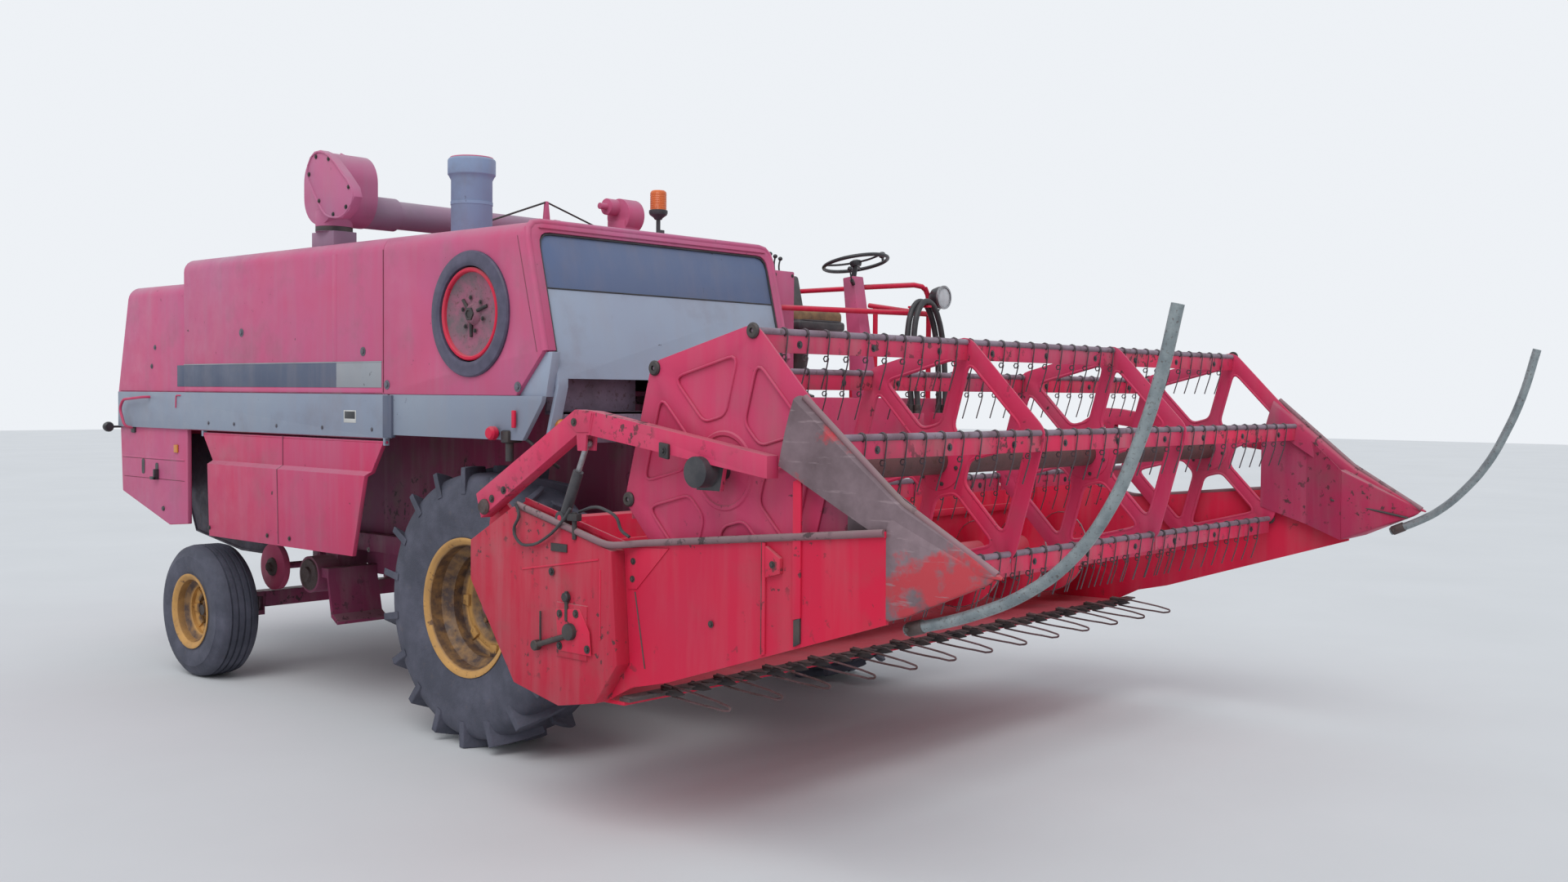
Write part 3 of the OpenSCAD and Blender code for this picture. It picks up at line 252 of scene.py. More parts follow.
def shaped(along, across, rule, thickness):
    """A thin sheet: a grid whose corners go where rule(along, across) says, both from 0 to 1."""
    bpy.ops.mesh.primitive_grid_add(x_subdivisions=along, y_subdivisions=across, size=1)
    piece = bpy.context.active_object
    for vertex in piece.data.vertices:
        vertex.co = rule(vertex.co.x + 0.5, vertex.co.y + 0.5)
    with editing(piece):
        bpy.ops.mesh.normals_make_consistent(inside=False)
    return modify(piece, "SOLIDIFY", thickness=thickness, offset=0)


def hull_of(corners, edge=0.0):
    """The closed shape that is stretched round some corners."""
    bpy.ops.mesh.primitive_circle_add(vertices=len(corners), fill_type="NOTHING")
    piece = bpy.context.active_object
    for vertex, corner in zip(piece.data.vertices, corners):
        vertex.co = corner
    with editing(piece):
        bpy.ops.mesh.convex_hull()
        bpy.ops.mesh.dissolve_limited(angle_limit=math.radians(1))
    return round_edges(piece, edge)


def cut(piece, cutter):
    """Takes the cutter's shape out of the piece."""
    modify(piece, "BOOLEAN", object=cutter, operation="DIFFERENCE", solver="EXACT")
    bpy.data.objects.remove(cutter)
    return piece


def rounded_outline(corners, bend):
    """A closed outline whose corners are cut by short curves. bend is one length, or one for each corner."""
    corners = [Vector(corner) for corner in corners]
    bends = bend if isinstance(bend, list) else [bend] * len(corners)
    outline = []
    for k, corner in enumerate(corners):
        if not bends[k]:
            outline.append(tuple(corner))
            continue
        before = corners[k - 1]
        after = corners[(k + 1) % len(corners)]
        start = corner + (before - corner).normalized() * bends[k]
        end = corner + (after - corner).normalized() * bends[k]
        for t in (0, 0.25, 0.5, 0.75, 1):
            outline.append(tuple((1 - t) ** 2 * start + 2 * t * (1 - t) * corner + t * t * end))
    return outline


def join(pieces):
    """The pieces as one mesh, which keeps the first one's place and the finishes of all."""
    bpy.ops.object.select_all(action="DESELECT")
    for piece in pieces:
        piece.select_set(True)
    bpy.context.view_layer.objects.active = pieces[0]
    if len(pieces) > 1:
        bpy.ops.object.join()
    return pieces[0]


def copy_of(piece, matrix):
    """A copy with its own mesh, moved by matrix."""
    twin = piece.copy()
    twin.data = piece.data.copy()
    twin.data.transform(matrix)
    bpy.context.collection.objects.link(twin)
    return twin


def repeated(piece, offsets):
    """The piece and its copies at these offsets, as one mesh."""
    twins = [copy_of(piece, Matrix.Translation(Vector(offset))) for offset in offsets]
    bpy.data.objects.remove(piece)
    return join(twins)


def ring_of(piece, count, centre, axis="X", start=0.0):
    """Copies of the piece all round an axis through centre, as one mesh."""
    centre = Vector(centre)
    twins = []
    for k in range(count):
        turn = Matrix.Rotation(math.radians(start) + 2 * math.pi * k / count, 4, axis)
        twins.append(copy_of(piece, Matrix.Translation(centre) @ turn @ Matrix.Translation(-centre)))
    bpy.data.objects.remove(piece)
    return join(twins)


def both_sides(piece):
    """The piece and its mirror image across the middle, as one mesh."""
    return modify(piece, "MIRROR", use_axis=(True, False, False), merge_threshold=0.00001)


def on_side(piece, side):
    """A piece that was made for the left, mirrored if its side is the right."""
    if side == RIGHT:
        piece.data.transform(Matrix.Scale(-1, 4, (1, 0, 0)))
        piece.data.flip_normals()
    return piece


def painted(piece, finish):
    """Gives the whole piece one finish."""
    piece.data.materials.clear()
    piece.data.materials.append(finish)
    return piece


def paint_where(piece, finish, rule):
    """Gives the faces whose middle meets the rule another finish."""
    piece.data.materials.append(finish)
    last = len(piece.data.materials) - 1
    for face in piece.data.polygons:
        if rule(face.center):
            face.material_index = last
    return piece


def fit(piece, name, body, finish=None, angle=32):
    """Names a finished piece, moves it into the frame and lets it ride on its body."""
    piece.name = name
    if finish:
        painted(piece, finish)
    piece.data.transform(Matrix.Translation(SHIFT))
    only(piece)
    bpy.ops.object.shade_smooth_by_angle(angle=math.radians(angle))
    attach(piece, body)
    return piece


def dressed(node, edge, finish, angle=35):
    """A copy of a solid with its flat faces merged and its edges rounded, which stands for it."""
    source = frame["nodes"][node]
    body = source["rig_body"]
    piece = source.copy()
    piece.data = source.data.copy()
    bpy.context.collection.objects.link(piece)
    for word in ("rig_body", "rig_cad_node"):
        del piece[word]
    piece.parent = None
    piece.data.transform(Matrix.Translation(-SHIFT))
    only(piece)
    bpy.ops.mesh.customdata_custom_splitnormals_clear()
    with editing(piece):
        bpy.ops.mesh.remove_doubles(threshold=0.00005)
        bpy.ops.mesh.dissolve_limited(angle_limit=math.radians(1))
    round_edges(piece, edge, 2, angle)
    fit(piece, node + "_finished", body, finish)
    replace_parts(piece, node)
    return piece


# Finishes

def rgb(red, green, blue):
    return (red, green, blue, 1.0)


SOOT = rgb(0.055, 0.04, 0.042)
RUST = rgb(0.085, 0.04, 0.028)
EARTH = rgb(0.17, 0.125, 0.10)
DUST = rgb(0.34, 0.27, 0.27)


class Finish:
    """A material in the making, with short words for the nodes that its layers share."""

    def __init__(self, name, roughness, metallic=0.0):
        self.material = bpy.data.materials.new(name)
        self.material.use_nodes = True
        self.tree = self.material.node_tree
        self.shader = self.tree.nodes["Principled BSDF"]
        self.shader.inputs["Roughness"].default_value = roughness
        self.shader.inputs["Metallic"].default_value = metallic
        self.place = self.tree.nodes.new("ShaderNodeTexCoord").outputs["Object"]

    def new(self, kind, sockets, **settings):
        node = self.tree.nodes.new("ShaderNode" + kind)
        for word, value in settings.items():
            setattr(node, word, value)
        for socket, value in sockets.items():
            if isinstance(value, bpy.types.NodeSocket):
                self.tree.links.new(value, node.inputs[socket])
            else:
                node.inputs[socket].default_value = value
        return node.outputs

    def noise(self, scale, stretch=(1, 1, 1), detail=4):
        spot = self.new("Mapping", {"Vector": self.place, "Scale": stretch})[0]
        return self.new("TexNoise", {"Vector": spot, "Scale": scale, "Detail": detail, "Roughness": 0.6})[0]

    def ramp(self, source, low, high, start=0.0, end=1.0):
        return self.new("MapRange", {0: source, 1: low, 2: high, 3: start, 4: end})[0]

    def math(self, operation, first, second):
        return self.new("Math", {0: first, 1: second}, operation=operation)[0]

    def mix(self, share, under, over):
        return self.new("Mix", {0: share, 6: under, 7: over}, data_type="RGBA")[2]

    def axis(self, index):
        return self.new("SeparateXYZ", {0: self.place})[index]

    def facing_up(self):
        normal = self.tree.nodes.new("ShaderNodeNewGeometry").outputs["Normal"]
        return self.new("SeparateXYZ", {0: normal})[2]

    def distance_from(self, y, z):
        """Distance from an axle that runs along X."""
        across = self.math("SUBTRACT", self.axis(1), y)
        above = self.math("SUBTRACT", self.axis(2), z)
        squares = self.math("ADD", self.math("MULTIPLY", across, across), self.math("MULTIPLY", above, above))
        return self.math("SQRT", squares, 0.0)

    def done(self, colour, roughness=None, height=None, distance=0.002):
        self.tree.links.new(colour, self.shader.inputs["Base Color"])
        if roughness:
            self.tree.links.new(roughness, self.shader.inputs["Roughness"])
        if height:
            normal = self.new("Bump", {"Height": height, "Distance": distance})[0]
            self.tree.links.new(normal, self.shader.inputs["Normal"])
        return self.material


def weathered_paint(name, base, faded, wear, ripple=0.006, dirt=0.5, dust=DUST):
    """Old enamel: sun-faded patches, rain streaks, soot, dust on what faces up, and chips down to rust.

    wear widens the chips, ripple is the depth of the dents, and dirt is the share of streaks and soot.
    """
    paint = Finish(name, 0.5)
    paint.shader.inputs["Specular IOR Level"].default_value = 0.22
    colour = paint.mix(paint.ramp(paint.noise(0.8), 0.36, 0.66), base, faded)
    streaks = paint.ramp(paint.noise(2.4, (4, 4, 0.4)), 0.46, 0.78, 0.0, 0.5 * dirt)
    colour = paint.mix(streaks, colour, dust)
    soot = paint.ramp(paint.noise(3.2, detail=9), 0.53, 0.75, 0.0, 0.75 * dirt)
    colour = paint.mix(soot, colour, EARTH)
    settled = paint.ramp(paint.facing_up(), 0.3, 0.95, 0.0, 0.2 + 0.5 * dirt)
    colour = paint.mix(settled, colour, dust)
    patches = paint.ramp(paint.noise(1.9), 0.5, 0.6)
    chips = paint.ramp(paint.noise(24, detail=7), 0.69 - 0.11 * wear, 0.71 - 0.11 * wear, 0.0, 0.85)
    chips = paint.math("MULTIPLY", chips, patches)
    colour = paint.mix(chips, colour, SOOT)
    roughness = paint.ramp(paint.noise(6, detail=6), 0.3, 0.7, 0.36, 0.64)
    fine = paint.math("MULTIPLY", paint.noise(240, detail=2), 0.03)
    height = paint.math("ADD", paint.noise(1.7, detail=1), fine)
    return paint.done(colour, roughness, height, ripple)


def worn_metal(name, base, stain, metallic, roughness, scale=9):
    """Bare or galvanised steel with blotches of another shade."""
    metal = Finish(name, roughness, metallic)
    blotches = metal.ramp(metal.noise(scale, detail=8), 0.4, 0.64)
    colour = metal.mix(blotches, base, stain)
    spots = metal.ramp(metal.noise(scale * 7, detail=4), 0.58, 0.68, 0.0, 0.6)
    colour = metal.mix(spots, colour, RUST)
    rough = metal.ramp(metal.noise(scale * 2), 0.3, 0.7, roughness - 0.12, roughness + 0.18)
    return metal.done(colour, rough, metal.noise(scale * 22, detail=3), 0.0012)


def rusted_nose():
    """Red enamel worn through to brown steel, most of all towards the top."""
    nose = Finish("worn nose", 0.55, 0.1)
    blotches = nose.ramp(nose.noise(5, detail=8), 0.35, 0.65)
    bare = nose.mix(blotches, rgb(0.23, 0.16, 0.18), rgb(0.115, 0.075, 0.085))
    higher = nose.ramp(nose.axis(2), 1.05, 1.70, -0.09, 0.06)
    worn = nose.ramp(nose.math("ADD", nose.noise(3.2, detail=7), higher), 0.40, 0.46)
    colour = nose.mix(worn, rgb(0.48, 0.04, 0.055), bare)
    scratches = nose.ramp(nose.noise(9, (0.6, 0.6, 5), 6), 0.60, 0.66, 0.0, 0.6)
    colour = nose.mix(scratches, colour, rgb(0.30, 0.22, 0.235))
    return nose.done(colour, nose.ramp(nose.noise(8), 0.3, 0.7, 0.4, 0.7), nose.noise(6, detail=3), 0.004)


def tyre_rubber():
    """Grey weathered rubber with blotches of dust and a little mud."""
    rubber = Finish("tyre rubber", 0.75)
    dust = rubber.ramp(rubber.noise(7, detail=8), 0.4, 0.72, 0.0, 0.6)
    colour = rubber.mix(dust, rgb(0.055, 0.058, 0.082), rgb(0.125, 0.125, 0.17))
    mud = rubber.ramp(rubber.noise(21, detail=6), 0.62, 0.72, 0.0, 0.2)
    colour = rubber.mix(mud, colour, EARTH)
    return rubber.done(colour, None, rubber.noise(90, detail=5), 0.0025)


def rim_paint(name, y, z, shade_radius, trough):
    """Ochre enamel, bright at the flange, and darkened to brown in the trough and towards the hub: painted
    shade, broken into blots.
    """
    paint = Finish(name, 0.55)
    ochre = paint.mix(paint.ramp(paint.noise(9), 0.35, 0.7), rgb(0.56, 0.30, 0.085), rgb(0.40, 0.215, 0.07))
    # Painted shade: dark brown in the trough and towards the hub, broken into blots
    radius = paint.distance_from(y, z)
    inner = paint.ramp(radius, shade_radius, shade_radius + 0.02, 0.95, 0.0)
    rise = paint.ramp(radius, trough[0], trough[0] + 0.012)
    fall = paint.ramp(radius, trough[1] - 0.010, trough[1], 1.0, 0.0)
    dark = paint.math("MAXIMUM", inner, paint.math("MULTIPLY", rise, fall))
    blots = paint.ramp(paint.noise(16, detail=8), 0.36, 0.60, 0.55, 1.0)
    share = paint.math("MULTIPLY", dark, blots)
    colour = paint.mix(share, ochre, rgb(0.075, 0.048, 0.042))
    flakes = paint.ramp(paint.noise(30, detail=8), 0.63, 0.68, 0.0, 0.8)
    colour = paint.mix(flakes, colour, RUST)
    return paint.done(colour, paint.ramp(paint.noise(12), 0.3, 0.7, 0.45, 0.75), paint.noise(60), 0.0015)


def glossy(name, base, roughness, second):
    """Moulded plastic or vinyl with a slight mottle."""
    plastic = Finish(name, roughness)
    colour = plastic.mix(plastic.ramp(plastic.noise(14, detail=6), 0.4, 0.7), base, second)
    return plastic.done(colour, None, plastic.noise(320, detail=2), 0.0006)


# Enamel of the body and the platform
PINK_DUST = rgb(0.36, 0.27, 0.33)
# Hood red is pinker than its paint: painted sky sheen in the base and faded tones
HOOD_RED_WITH_SHEEN = weathered_paint("hood red with painted sky sheen", rgb(0.58, 0.095, 0.20), rgb(0.53, 0.135, 0.27), 0.0,
                           dirt=0.4, dust=PINK_DUST)
SIDE_RED = weathered_paint("side red", rgb(0.57, 0.045, 0.12), rgb(0.50, 0.075, 0.17), 0.1,
                           dirt=0.4, dust=PINK_DUST)
# The unloader's faded grey-mauve is partly faded paint and partly painted bluish haze light
TUBE_RED_HAZED = weathered_paint("tube red with painted haze", rgb(0.38, 0.16, 0.25), rgb(0.27, 0.24, 0.32), 0.0, dust=PINK_DUST)
ELBOW_RED = weathered_paint("elbow red", rgb(0.54, 0.13, 0.25), rgb(0.46, 0.19, 0.33), 0.1, dust=PINK_DUST)
FRAME_RED = weathered_paint("frame red", rgb(0.34, 0.05, 0.125), rgb(0.21, 0.07, 0.13), 1.0, 0.004, 0.9)
SEAM_RED = weathered_paint("seam", rgb(0.22, 0.03, 0.07), rgb(0.14, 0.03, 0.06), 0.0, 0.0, 0.8)
SILVER = weathered_paint("silver enamel", rgb(0.345, 0.41, 0.51), rgb(0.32, 0.36, 0.46), 0.0, dirt=0.35)
BAND_GREY = weathered_paint("band enamel", rgb(0.27, 0.31, 0.38), rgb(0.24, 0.275, 0.36), 0.1, 0.003, 0.35)
# The dash's pale blue is a painted reflection of the sky on dark enamel
DASH_SKY_REFLECTION = weathered_paint("dark enamel with painted sky reflection", rgb(0.12, 0.165, 0.29), rgb(0.14, 0.18, 0.29), 0.0, dirt=0.3)
STRIP_DARK = weathered_paint("dark strip", rgb(0.085, 0.105, 0.16), rgb(0.12, 0.14, 0.20), 0.0, 0.001, 0.4)
STRIP_PALE = weathered_paint("pale strip", rgb(0.33, 0.345, 0.37), rgb(0.28, 0.30, 0.33), 0.2, 0.001, 0.4)
STACK_GREY = weathered_paint("stack grey", rgb(0.26, 0.34, 0.50), rgb(0.22, 0.28, 0.42), 0.1, 0.002)

# Enamel of the header and the reel
HEADER_RED = weathered_paint("header red", rgb(0.70, 0.010, 0.05), rgb(0.60, 0.024, 0.07), 0.6, 0.004, 0.3)
BOX_RED = weathered_paint("drive box red", rgb(0.56, 0.014, 0.045), rgb(0.44, 0.03, 0.06), 0.8, 0.004, 0.5)
NOSE_RED = weathered_paint("nose red", rgb(0.50, 0.025, 0.085), rgb(0.36, 0.06, 0.13), 0.8, 0.004, 0.45)
REEL_RED = weathered_paint("reel red", rgb(0.66, 0.03, 0.095), rgb(0.56, 0.055, 0.14), 0.4, 0.003, 0.3)
BAT_RED = weathered_paint("slat red", rgb(0.78, 0.025, 0.09), rgb(0.60, 0.06, 0.14), 1.0, 0.003, 0.8)
ARM_RED = weathered_paint("arm red", rgb(0.70, 0.035, 0.10), rgb(0.60, 0.05, 0.13), 1.25, 0.003, 0.3)
RAIL_WORN = weathered_paint("worn rail", rgb(0.30, 0.13, 0.16), rgb(0.20, 0.13, 0.14), 1.2, 0.002)
NOSE_RUST = rusted_nose()

# Bare, galvanised and dirty sheet and wire
GALVANISED = worn_metal("galvanised steel", rgb(0.30, 0.34, 0.35), rgb(0.20, 0.235, 0.25), 0.55, 0.45, 14)
RUSTY = worn_metal("rusty steel", rgb(0.125, 0.095, 0.095), rgb(0.075, 0.05, 0.045), 0.35, 0.62, 6)
DARK_STEEL = worn_metal("dark steel", rgb(0.05, 0.047, 0.05), rgb(0.09, 0.075, 0.07), 0.45, 0.5, 12)
BRIGHT_STEEL = worn_metal("rubbed steel", rgb(0.42, 0.42, 0.44), rgb(0.24, 0.23, 0.24), 0.85, 0.34, 16)
LIFTER_STEEL = worn_metal("lifter wire", rgb(0.20, 0.13, 0.135), rgb(0.12, 0.07, 0.065), 0.5, 0.5, 9)
TINE_STEEL = worn_metal("tine wire", rgb(0.085, 0.075, 0.085), rgb(0.13, 0.10, 0.11), 0.5, 0.5, 9)
BAT_TUBE = worn_metal("bat tube", rgb(0.27, 0.205, 0.255), rgb(0.19, 0.12, 0.15), 0.15, 0.55, 5)
SHAFT_RUST = worn_metal("reel shaft", rgb(0.14, 0.055, 0.055), rgb(0.10, 0.06, 0.06), 0.15, 0.65, 4)
# Near-black walker sheets: painted shade under the straw hood
WALKER_SHADE = worn_metal("walker sheet painted as shade", rgb(0.07, 0.06, 0.085), rgb(0.045, 0.038, 0.05), 0.1, 0.65, 5)
RECESS_BROWN = worn_metal("brown recess", rgb(0.26, 0.19, 0.26), rgb(0.17, 0.13, 0.17), 0.0, 0.75, 5)
SCREEN_DUST = worn_metal("dusty screen", rgb(0.32, 0.105, 0.165), rgb(0.14, 0.12, 0.13), 0.0, 0.7, 7)

# Tyres and rims
RUBBER = tyre_rubber()
FRONT_OCHRE = rim_paint("front rim ochre", AXLE_Y, AXLE_Z, 0.195, (0.245, 0.325))
rear_low, rear_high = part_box("rear_rim_right")
REAR_OCHRE = rim_paint("rear rim ochre", (rear_low.y + rear_high.y) / 2, (rear_low.z + rear_high.z) / 2,
                       0.10, (0.155, 0.200))

# Plastic, rubber, glass and the seat
BLACK_PAINT = glossy("black enamel", rgb(0.028, 0.028, 0.034), 0.42, rgb(0.06, 0.055, 0.06))
BLACK_PLASTIC = glossy("black plastic", rgb(0.022, 0.022, 0.025), 0.38, rgb(0.045, 0.045, 0.05))
SCREEN_BLACK = glossy("screen ring", rgb(0.06, 0.055, 0.095), 0.5, rgb(0.095, 0.085, 0.14))
HOSE_BLACK = glossy("hose rubber", rgb(0.03, 0.03, 0.034), 0.5, rgb(0.06, 0.058, 0.06))
AMBER = glossy("amber lens", rgb(0.72, 0.16, 0.035), 0.22, rgb(0.55, 0.10, 0.025))
PALE_CAP = glossy("pale cap", rgb(0.62, 0.62, 0.60), 0.4, rgb(0.45, 0.44, 0.42))
SEAT_VINYL = glossy("seat vinyl", rgb(0.035, 0.035, 0.04), 0.48, rgb(0.075, 0.07, 0.07))
SEAT_TAN = glossy("worn seat cloth", rgb(0.30, 0.20, 0.10), 0.8, rgb(0.14, 0.09, 0.06))
LENS = glossy("lamp glass", rgb(0.55, 0.56, 0.58), 0.12, rgb(0.40, 0.41, 0.43))
ORANGE_LENS = glossy("orange lens", rgb(0.60, 0.22, 0.03), 0.25, rgb(0.45, 0.13, 0.02))
BOLT_GREY = glossy("painted bolt", rgb(0.13, 0.13, 0.16), 0.5, rgb(0.09, 0.08, 0.09))


# Stage

def make_stage():
    """A plain pale floor under a soft even sky, with one broad light from the right front."""
    bpy.ops.mesh.primitive_plane_add(size=120)
    floor = bpy.context.active_object
    floor.name = "floor"
    ground = Finish("pale floor", 0.9)
    shade = ground.ramp(ground.noise(0.5), 0.3, 0.7)
    floor.data.materials.append(ground.done(ground.mix(shade, rgb(0.60, 0.61, 0.62), rgb(0.63, 0.64, 0.65))))

    world = bpy.data.worlds.new("sky")
    bpy.context.scene.world = world
    world.use_nodes = True
    tree = world.node_tree
    light = tree.nodes["Background"]
    light.inputs["Color"].default_value = rgb(0.89, 0.94, 1.0)
    light.inputs["Strength"].default_value = 0.78
    seen = tree.nodes.new("ShaderNodeBackground")
    seen.inputs["Color"].default_value = rgb(0.90, 0.93, 0.97)
    seen.inputs["Strength"].default_value = 0.95
    path = tree.nodes.new("ShaderNodeLightPath")
    either = tree.nodes.new("ShaderNodeMath")
    either.operation = "MAXIMUM"
    mixer = tree.nodes.new("ShaderNodeMixShader")
    tree.links.new(path.outputs["Is Camera Ray"], either.inputs[0])
    tree.links.new(path.outputs["Is Glossy Ray"], either.inputs[1])
    tree.links.new(either.outputs[0], mixer.inputs[0])
    tree.links.new(light.outputs[0], mixer.inputs[1])
    tree.links.new(seen.outputs[0], mixer.inputs[2])
    tree.links.new(mixer.outputs[0], tree.nodes["World Output"].inputs["Surface"])

    sun = bpy.data.lights.new("broad light", "SUN")
    sun.energy = 1.25
    sun.angle = math.radians(40)
    lamp = bpy.data.objects.new("broad light", sun)
    lamp.rotation_euler = (math.radians(38), 0, math.radians(-62))
    bpy.context.scene.collection.objects.link(lamp)
    bpy.context.scene.view_settings.view_transform = "Standard"


# Small fittings

def bolt_heads(places, toward, radius=0.011, height=0.009):
    """Hexagon heads on washers, all facing one way."""
    washer = lathe([(0, 0), (radius * 1.7, 0), (radius * 1.7, height * 0.25), (0, height * 0.25)],
                   (0, 0, 0), toward, 12)
    head = lathe([(0, height * 0.2), (radius, height * 0.2), (radius, height * 0.9),
                  (radius * 0.8, height), (0, height)], (0, 0, 0), toward, 6)
    return repeated(join([washer, head]), places)


# Wheels

FRONT_WHEEL_X = 1.29
TYRE_R = 0.715
TYRE_HALF_W = 0.223
BEAD_R = 0.3303
LUG_H = 0.034
LUG_COUNT = 18
LUG_SLANT = 34
# Radii of flange, bead seat, well, half width, radii of hub and ring of nuts, and how many nuts
FRONT_RIM = (0.355, 0.330, 0.285, 0.183, 0.100, 0.135, 8)
REAR_RIM = (0.235, 0.210, 0.165, 0.112, 0.055, 0.078, 6)
FLANGE_LIP = 0.026
RIM_CLAMPS = 8


def carcass(radius, half, bead, shoulder):
    """Closed outline of a tyre, as [radius, distance outward]. shoulder is how far the tread falls away."""
    tall = radius - bead
    side = [(bead, 0.80), (bead + 0.006, 0.86), (bead + 0.10 * tall, 0.93), (bead + 0.13 * tall, 0.90),
            (bead + 0.28 * tall, 0.965), (bead + 0.48 * tall, 1.0), (bead + 0.66 * tall, 0.985),
            (radius - shoulder * 2.2, 0.95), (radius - shoulder, 0.87), (radius - shoulder * 0.3, 0.74),
            (radius, 0.5), (radius, 0.25)]
    return [(r, -share * half) for r, share in side] + [(r, share * half) for r, share in reversed(side)]


def lug(side):
    """One bar of the tread, from the middle line over one shoulder."""
    slope = math.tan(math.radians(LUG_SLANT))

    def corner(along, across, up):
        reach = -0.012 + along * (TYRE_HALF_W + 0.010)
        wide = (0.019 + 0.006 * along) * (1 - 0.28 * up)
        low = TYRE_R - LUG_H - 0.02 - 0.085 * max(0.0, along - 0.72) / 0.28
        radius = (TYRE_R - 0.004 * along ** 4) if up else low
        turn = (slope * reach * (1 - 0.12 * along) + wide * across) / TYRE_R
        return (side * reach, -radius * math.sin(turn), radius * math.cos(turn))

    return round_edges(ribbon(7, corner), 0.003, 1)


def make_front_tyre(side, name, body):
    """A smooth carcass with two rings of slanted lugs that meet in a chevron."""
    centre = Vector((side * FRONT_WHEEL_X, 0, AXLE_Z))
    rubber = lathe(carcass(TYRE_R - LUG_H, TYRE_HALF_W, BEAD_R, 0.03), centre, OUT_LEFT, 72)
    modify(rubber, "SUBSURF", levels=1, render_levels=1)
    bars = []
    for lean, start in ((1, 0), (-1, 180 / LUG_COUNT)):
        one = lug(lean)
        one.data.transform(Matrix.Translation(centre))
        bars.append(ring_of(one, LUG_COUNT, centre, "X", start))
    tyre = fit(join([rubber, *bars]), "front_tread_" + name, body, RUBBER, 28)
    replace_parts(tyre, "front_tyre_" + name)


REAR_WHEEL_X = 1.44
REAR_TYRE_R = 0.415
REAR_HALF_W = 0.14
REAR_BEAD_R = 0.2103
REAR_AXLE = (2.77, 0.415)


def make_rear_tyre(side, name, body):
    """A ribbed steering tyre: grooves all round its tread."""
    centre = Vector((side * REAR_WHEEL_X, *REAR_AXLE))
    outline = carcass(REAR_TYRE_R, REAR_HALF_W, REAR_BEAD_R, 0.03)
    middle = len(outline) // 2
    grooves = []
    for at in (-0.062, -0.021, 0.021, 0.062):
        grooves += [(REAR_TYRE_R, at - 0.007), (REAR_TYRE_R - 0.011, at - 0.005),
                    (REAR_TYRE_R - 0.011, at + 0.005), (REAR_TYRE_R, at + 0.007)]
    outline[middle - 2:middle + 2] = grooves
    tyre = fit(lathe(outline, centre, OUT_LEFT, 72), "rear_tread_" + name, body, RUBBER, 40)
    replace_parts(tyre, "rear_tyre_" + name)


def rim_outline(flange, seat, well, half, lip):
    """Closed outline of a pressed rim with curled flanges, as [radius, distance outward]."""
    outer = [(well, half * 0.36), (seat - 0.012, half * 0.60), (seat - 0.003, half * 0.66),
             (seat, half), (flange - 0.010, half + lip * 0.6), (flange, half + lip * 0.75),
             (flange, half + lip * 0.95), (flange - 0.008, half + lip), (flange - 0.020, half + lip * 0.85),
             (seat - 0.013, half + lip * 0.2), (seat - 0.016, half * 0.68), (well - 0.012, half * 0.42)]
    back = [(r, -along) for r, along in reversed(outer)]
    return outer + back


def make_rim(side, name, body, centre, sizes, finish, node):
    """Rim, dished disc, clamps, hub and nuts, seen from the outer side."""
    flange, seat, well, half, hub, nut_ring, nuts = sizes
    outward = Vector((side, 0, 0))
    hoop = lathe(rim_outline(flange, seat, well, half, FLANGE_LIP), centre, outward, 72)
    disc = lathe([(hub - 0.004, -0.040), (hub + 0.02, -0.034), (nut_ring + 0.05, -0.030),
                  (nut_ring + 0.07, -0.004), (nut_ring + 0.085, 0.002), (well - 0.05, -0.004),
                  (well - 0.006, 0.010), (well - 0.006, 0.026), (well - 0.045, 0.012),
                  (nut_ring + 0.090, 0.016), (nut_ring + 0.066, 0.010), (nut_ring + 0.042, -0.018),
                  (hub, -0.024)], centre, outward, 64)
    barrel = lathe([(0.0, -0.02), (hub, -0.02), (hub, 0.020), (hub - 0.012, 0.034), (hub * 0.62, 0.036),
                    (hub * 0.58, 0.052), (0, 0.055)], centre, outward, 40)
    nut = lathe([(0, 0), (0.024, 0), (0.024, 0.006), (0.015, 0.008), (0.015, 0.026), (0.011, 0.030),
                 (0, 0.030)], centre + Vector((side * -0.02, 0, nut_ring)), outward, 6)
    clamp = plate_x([(-0.03, well - 0.075), (0.03, well - 0.075), (0.022, well - 0.008),
                     (-0.022, well - 0.008)], 0.0, side * 0.022, 0.004)
    clamp.data.transform(Matrix.Translation(centre + Vector((side * 0.008, 0, 0))))
    parts = [hoop, disc, barrel, ring_of(nut, nuts, centre), ring_of(clamp, RIM_CLAMPS, centre)]
    rim = fit(join(parts), name, body, finish)
    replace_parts(rim, node)


def make_wheels():
    for side, name in ((RIGHT, "right"), (LEFT, "left")):
        front_centre = Vector((side * FRONT_WHEEL_X, 0, AXLE_Z))
        rear_centre = Vector((side * REAR_WHEEL_X, *REAR_AXLE))
        make_front_tyre(side, name, "wheel_front_" + name)
        make_rear_tyre(side, name, "wheel_rear_" + name)
        make_rim(side, "front_rim_pressed_" + name, "wheel_front_" + name, front_centre, FRONT_RIM,
                 FRONT_OCHRE, "front_rim_" + name)
        make_rim(side, "rear_rim_pressed_" + name, "wheel_rear_" + name, rear_centre, REAR_RIM,
                 REAR_OCHRE, "rear_rim_" + name)
        dressed("knuckle_" + name, 0.003, DARK_STEEL)


# Body shells

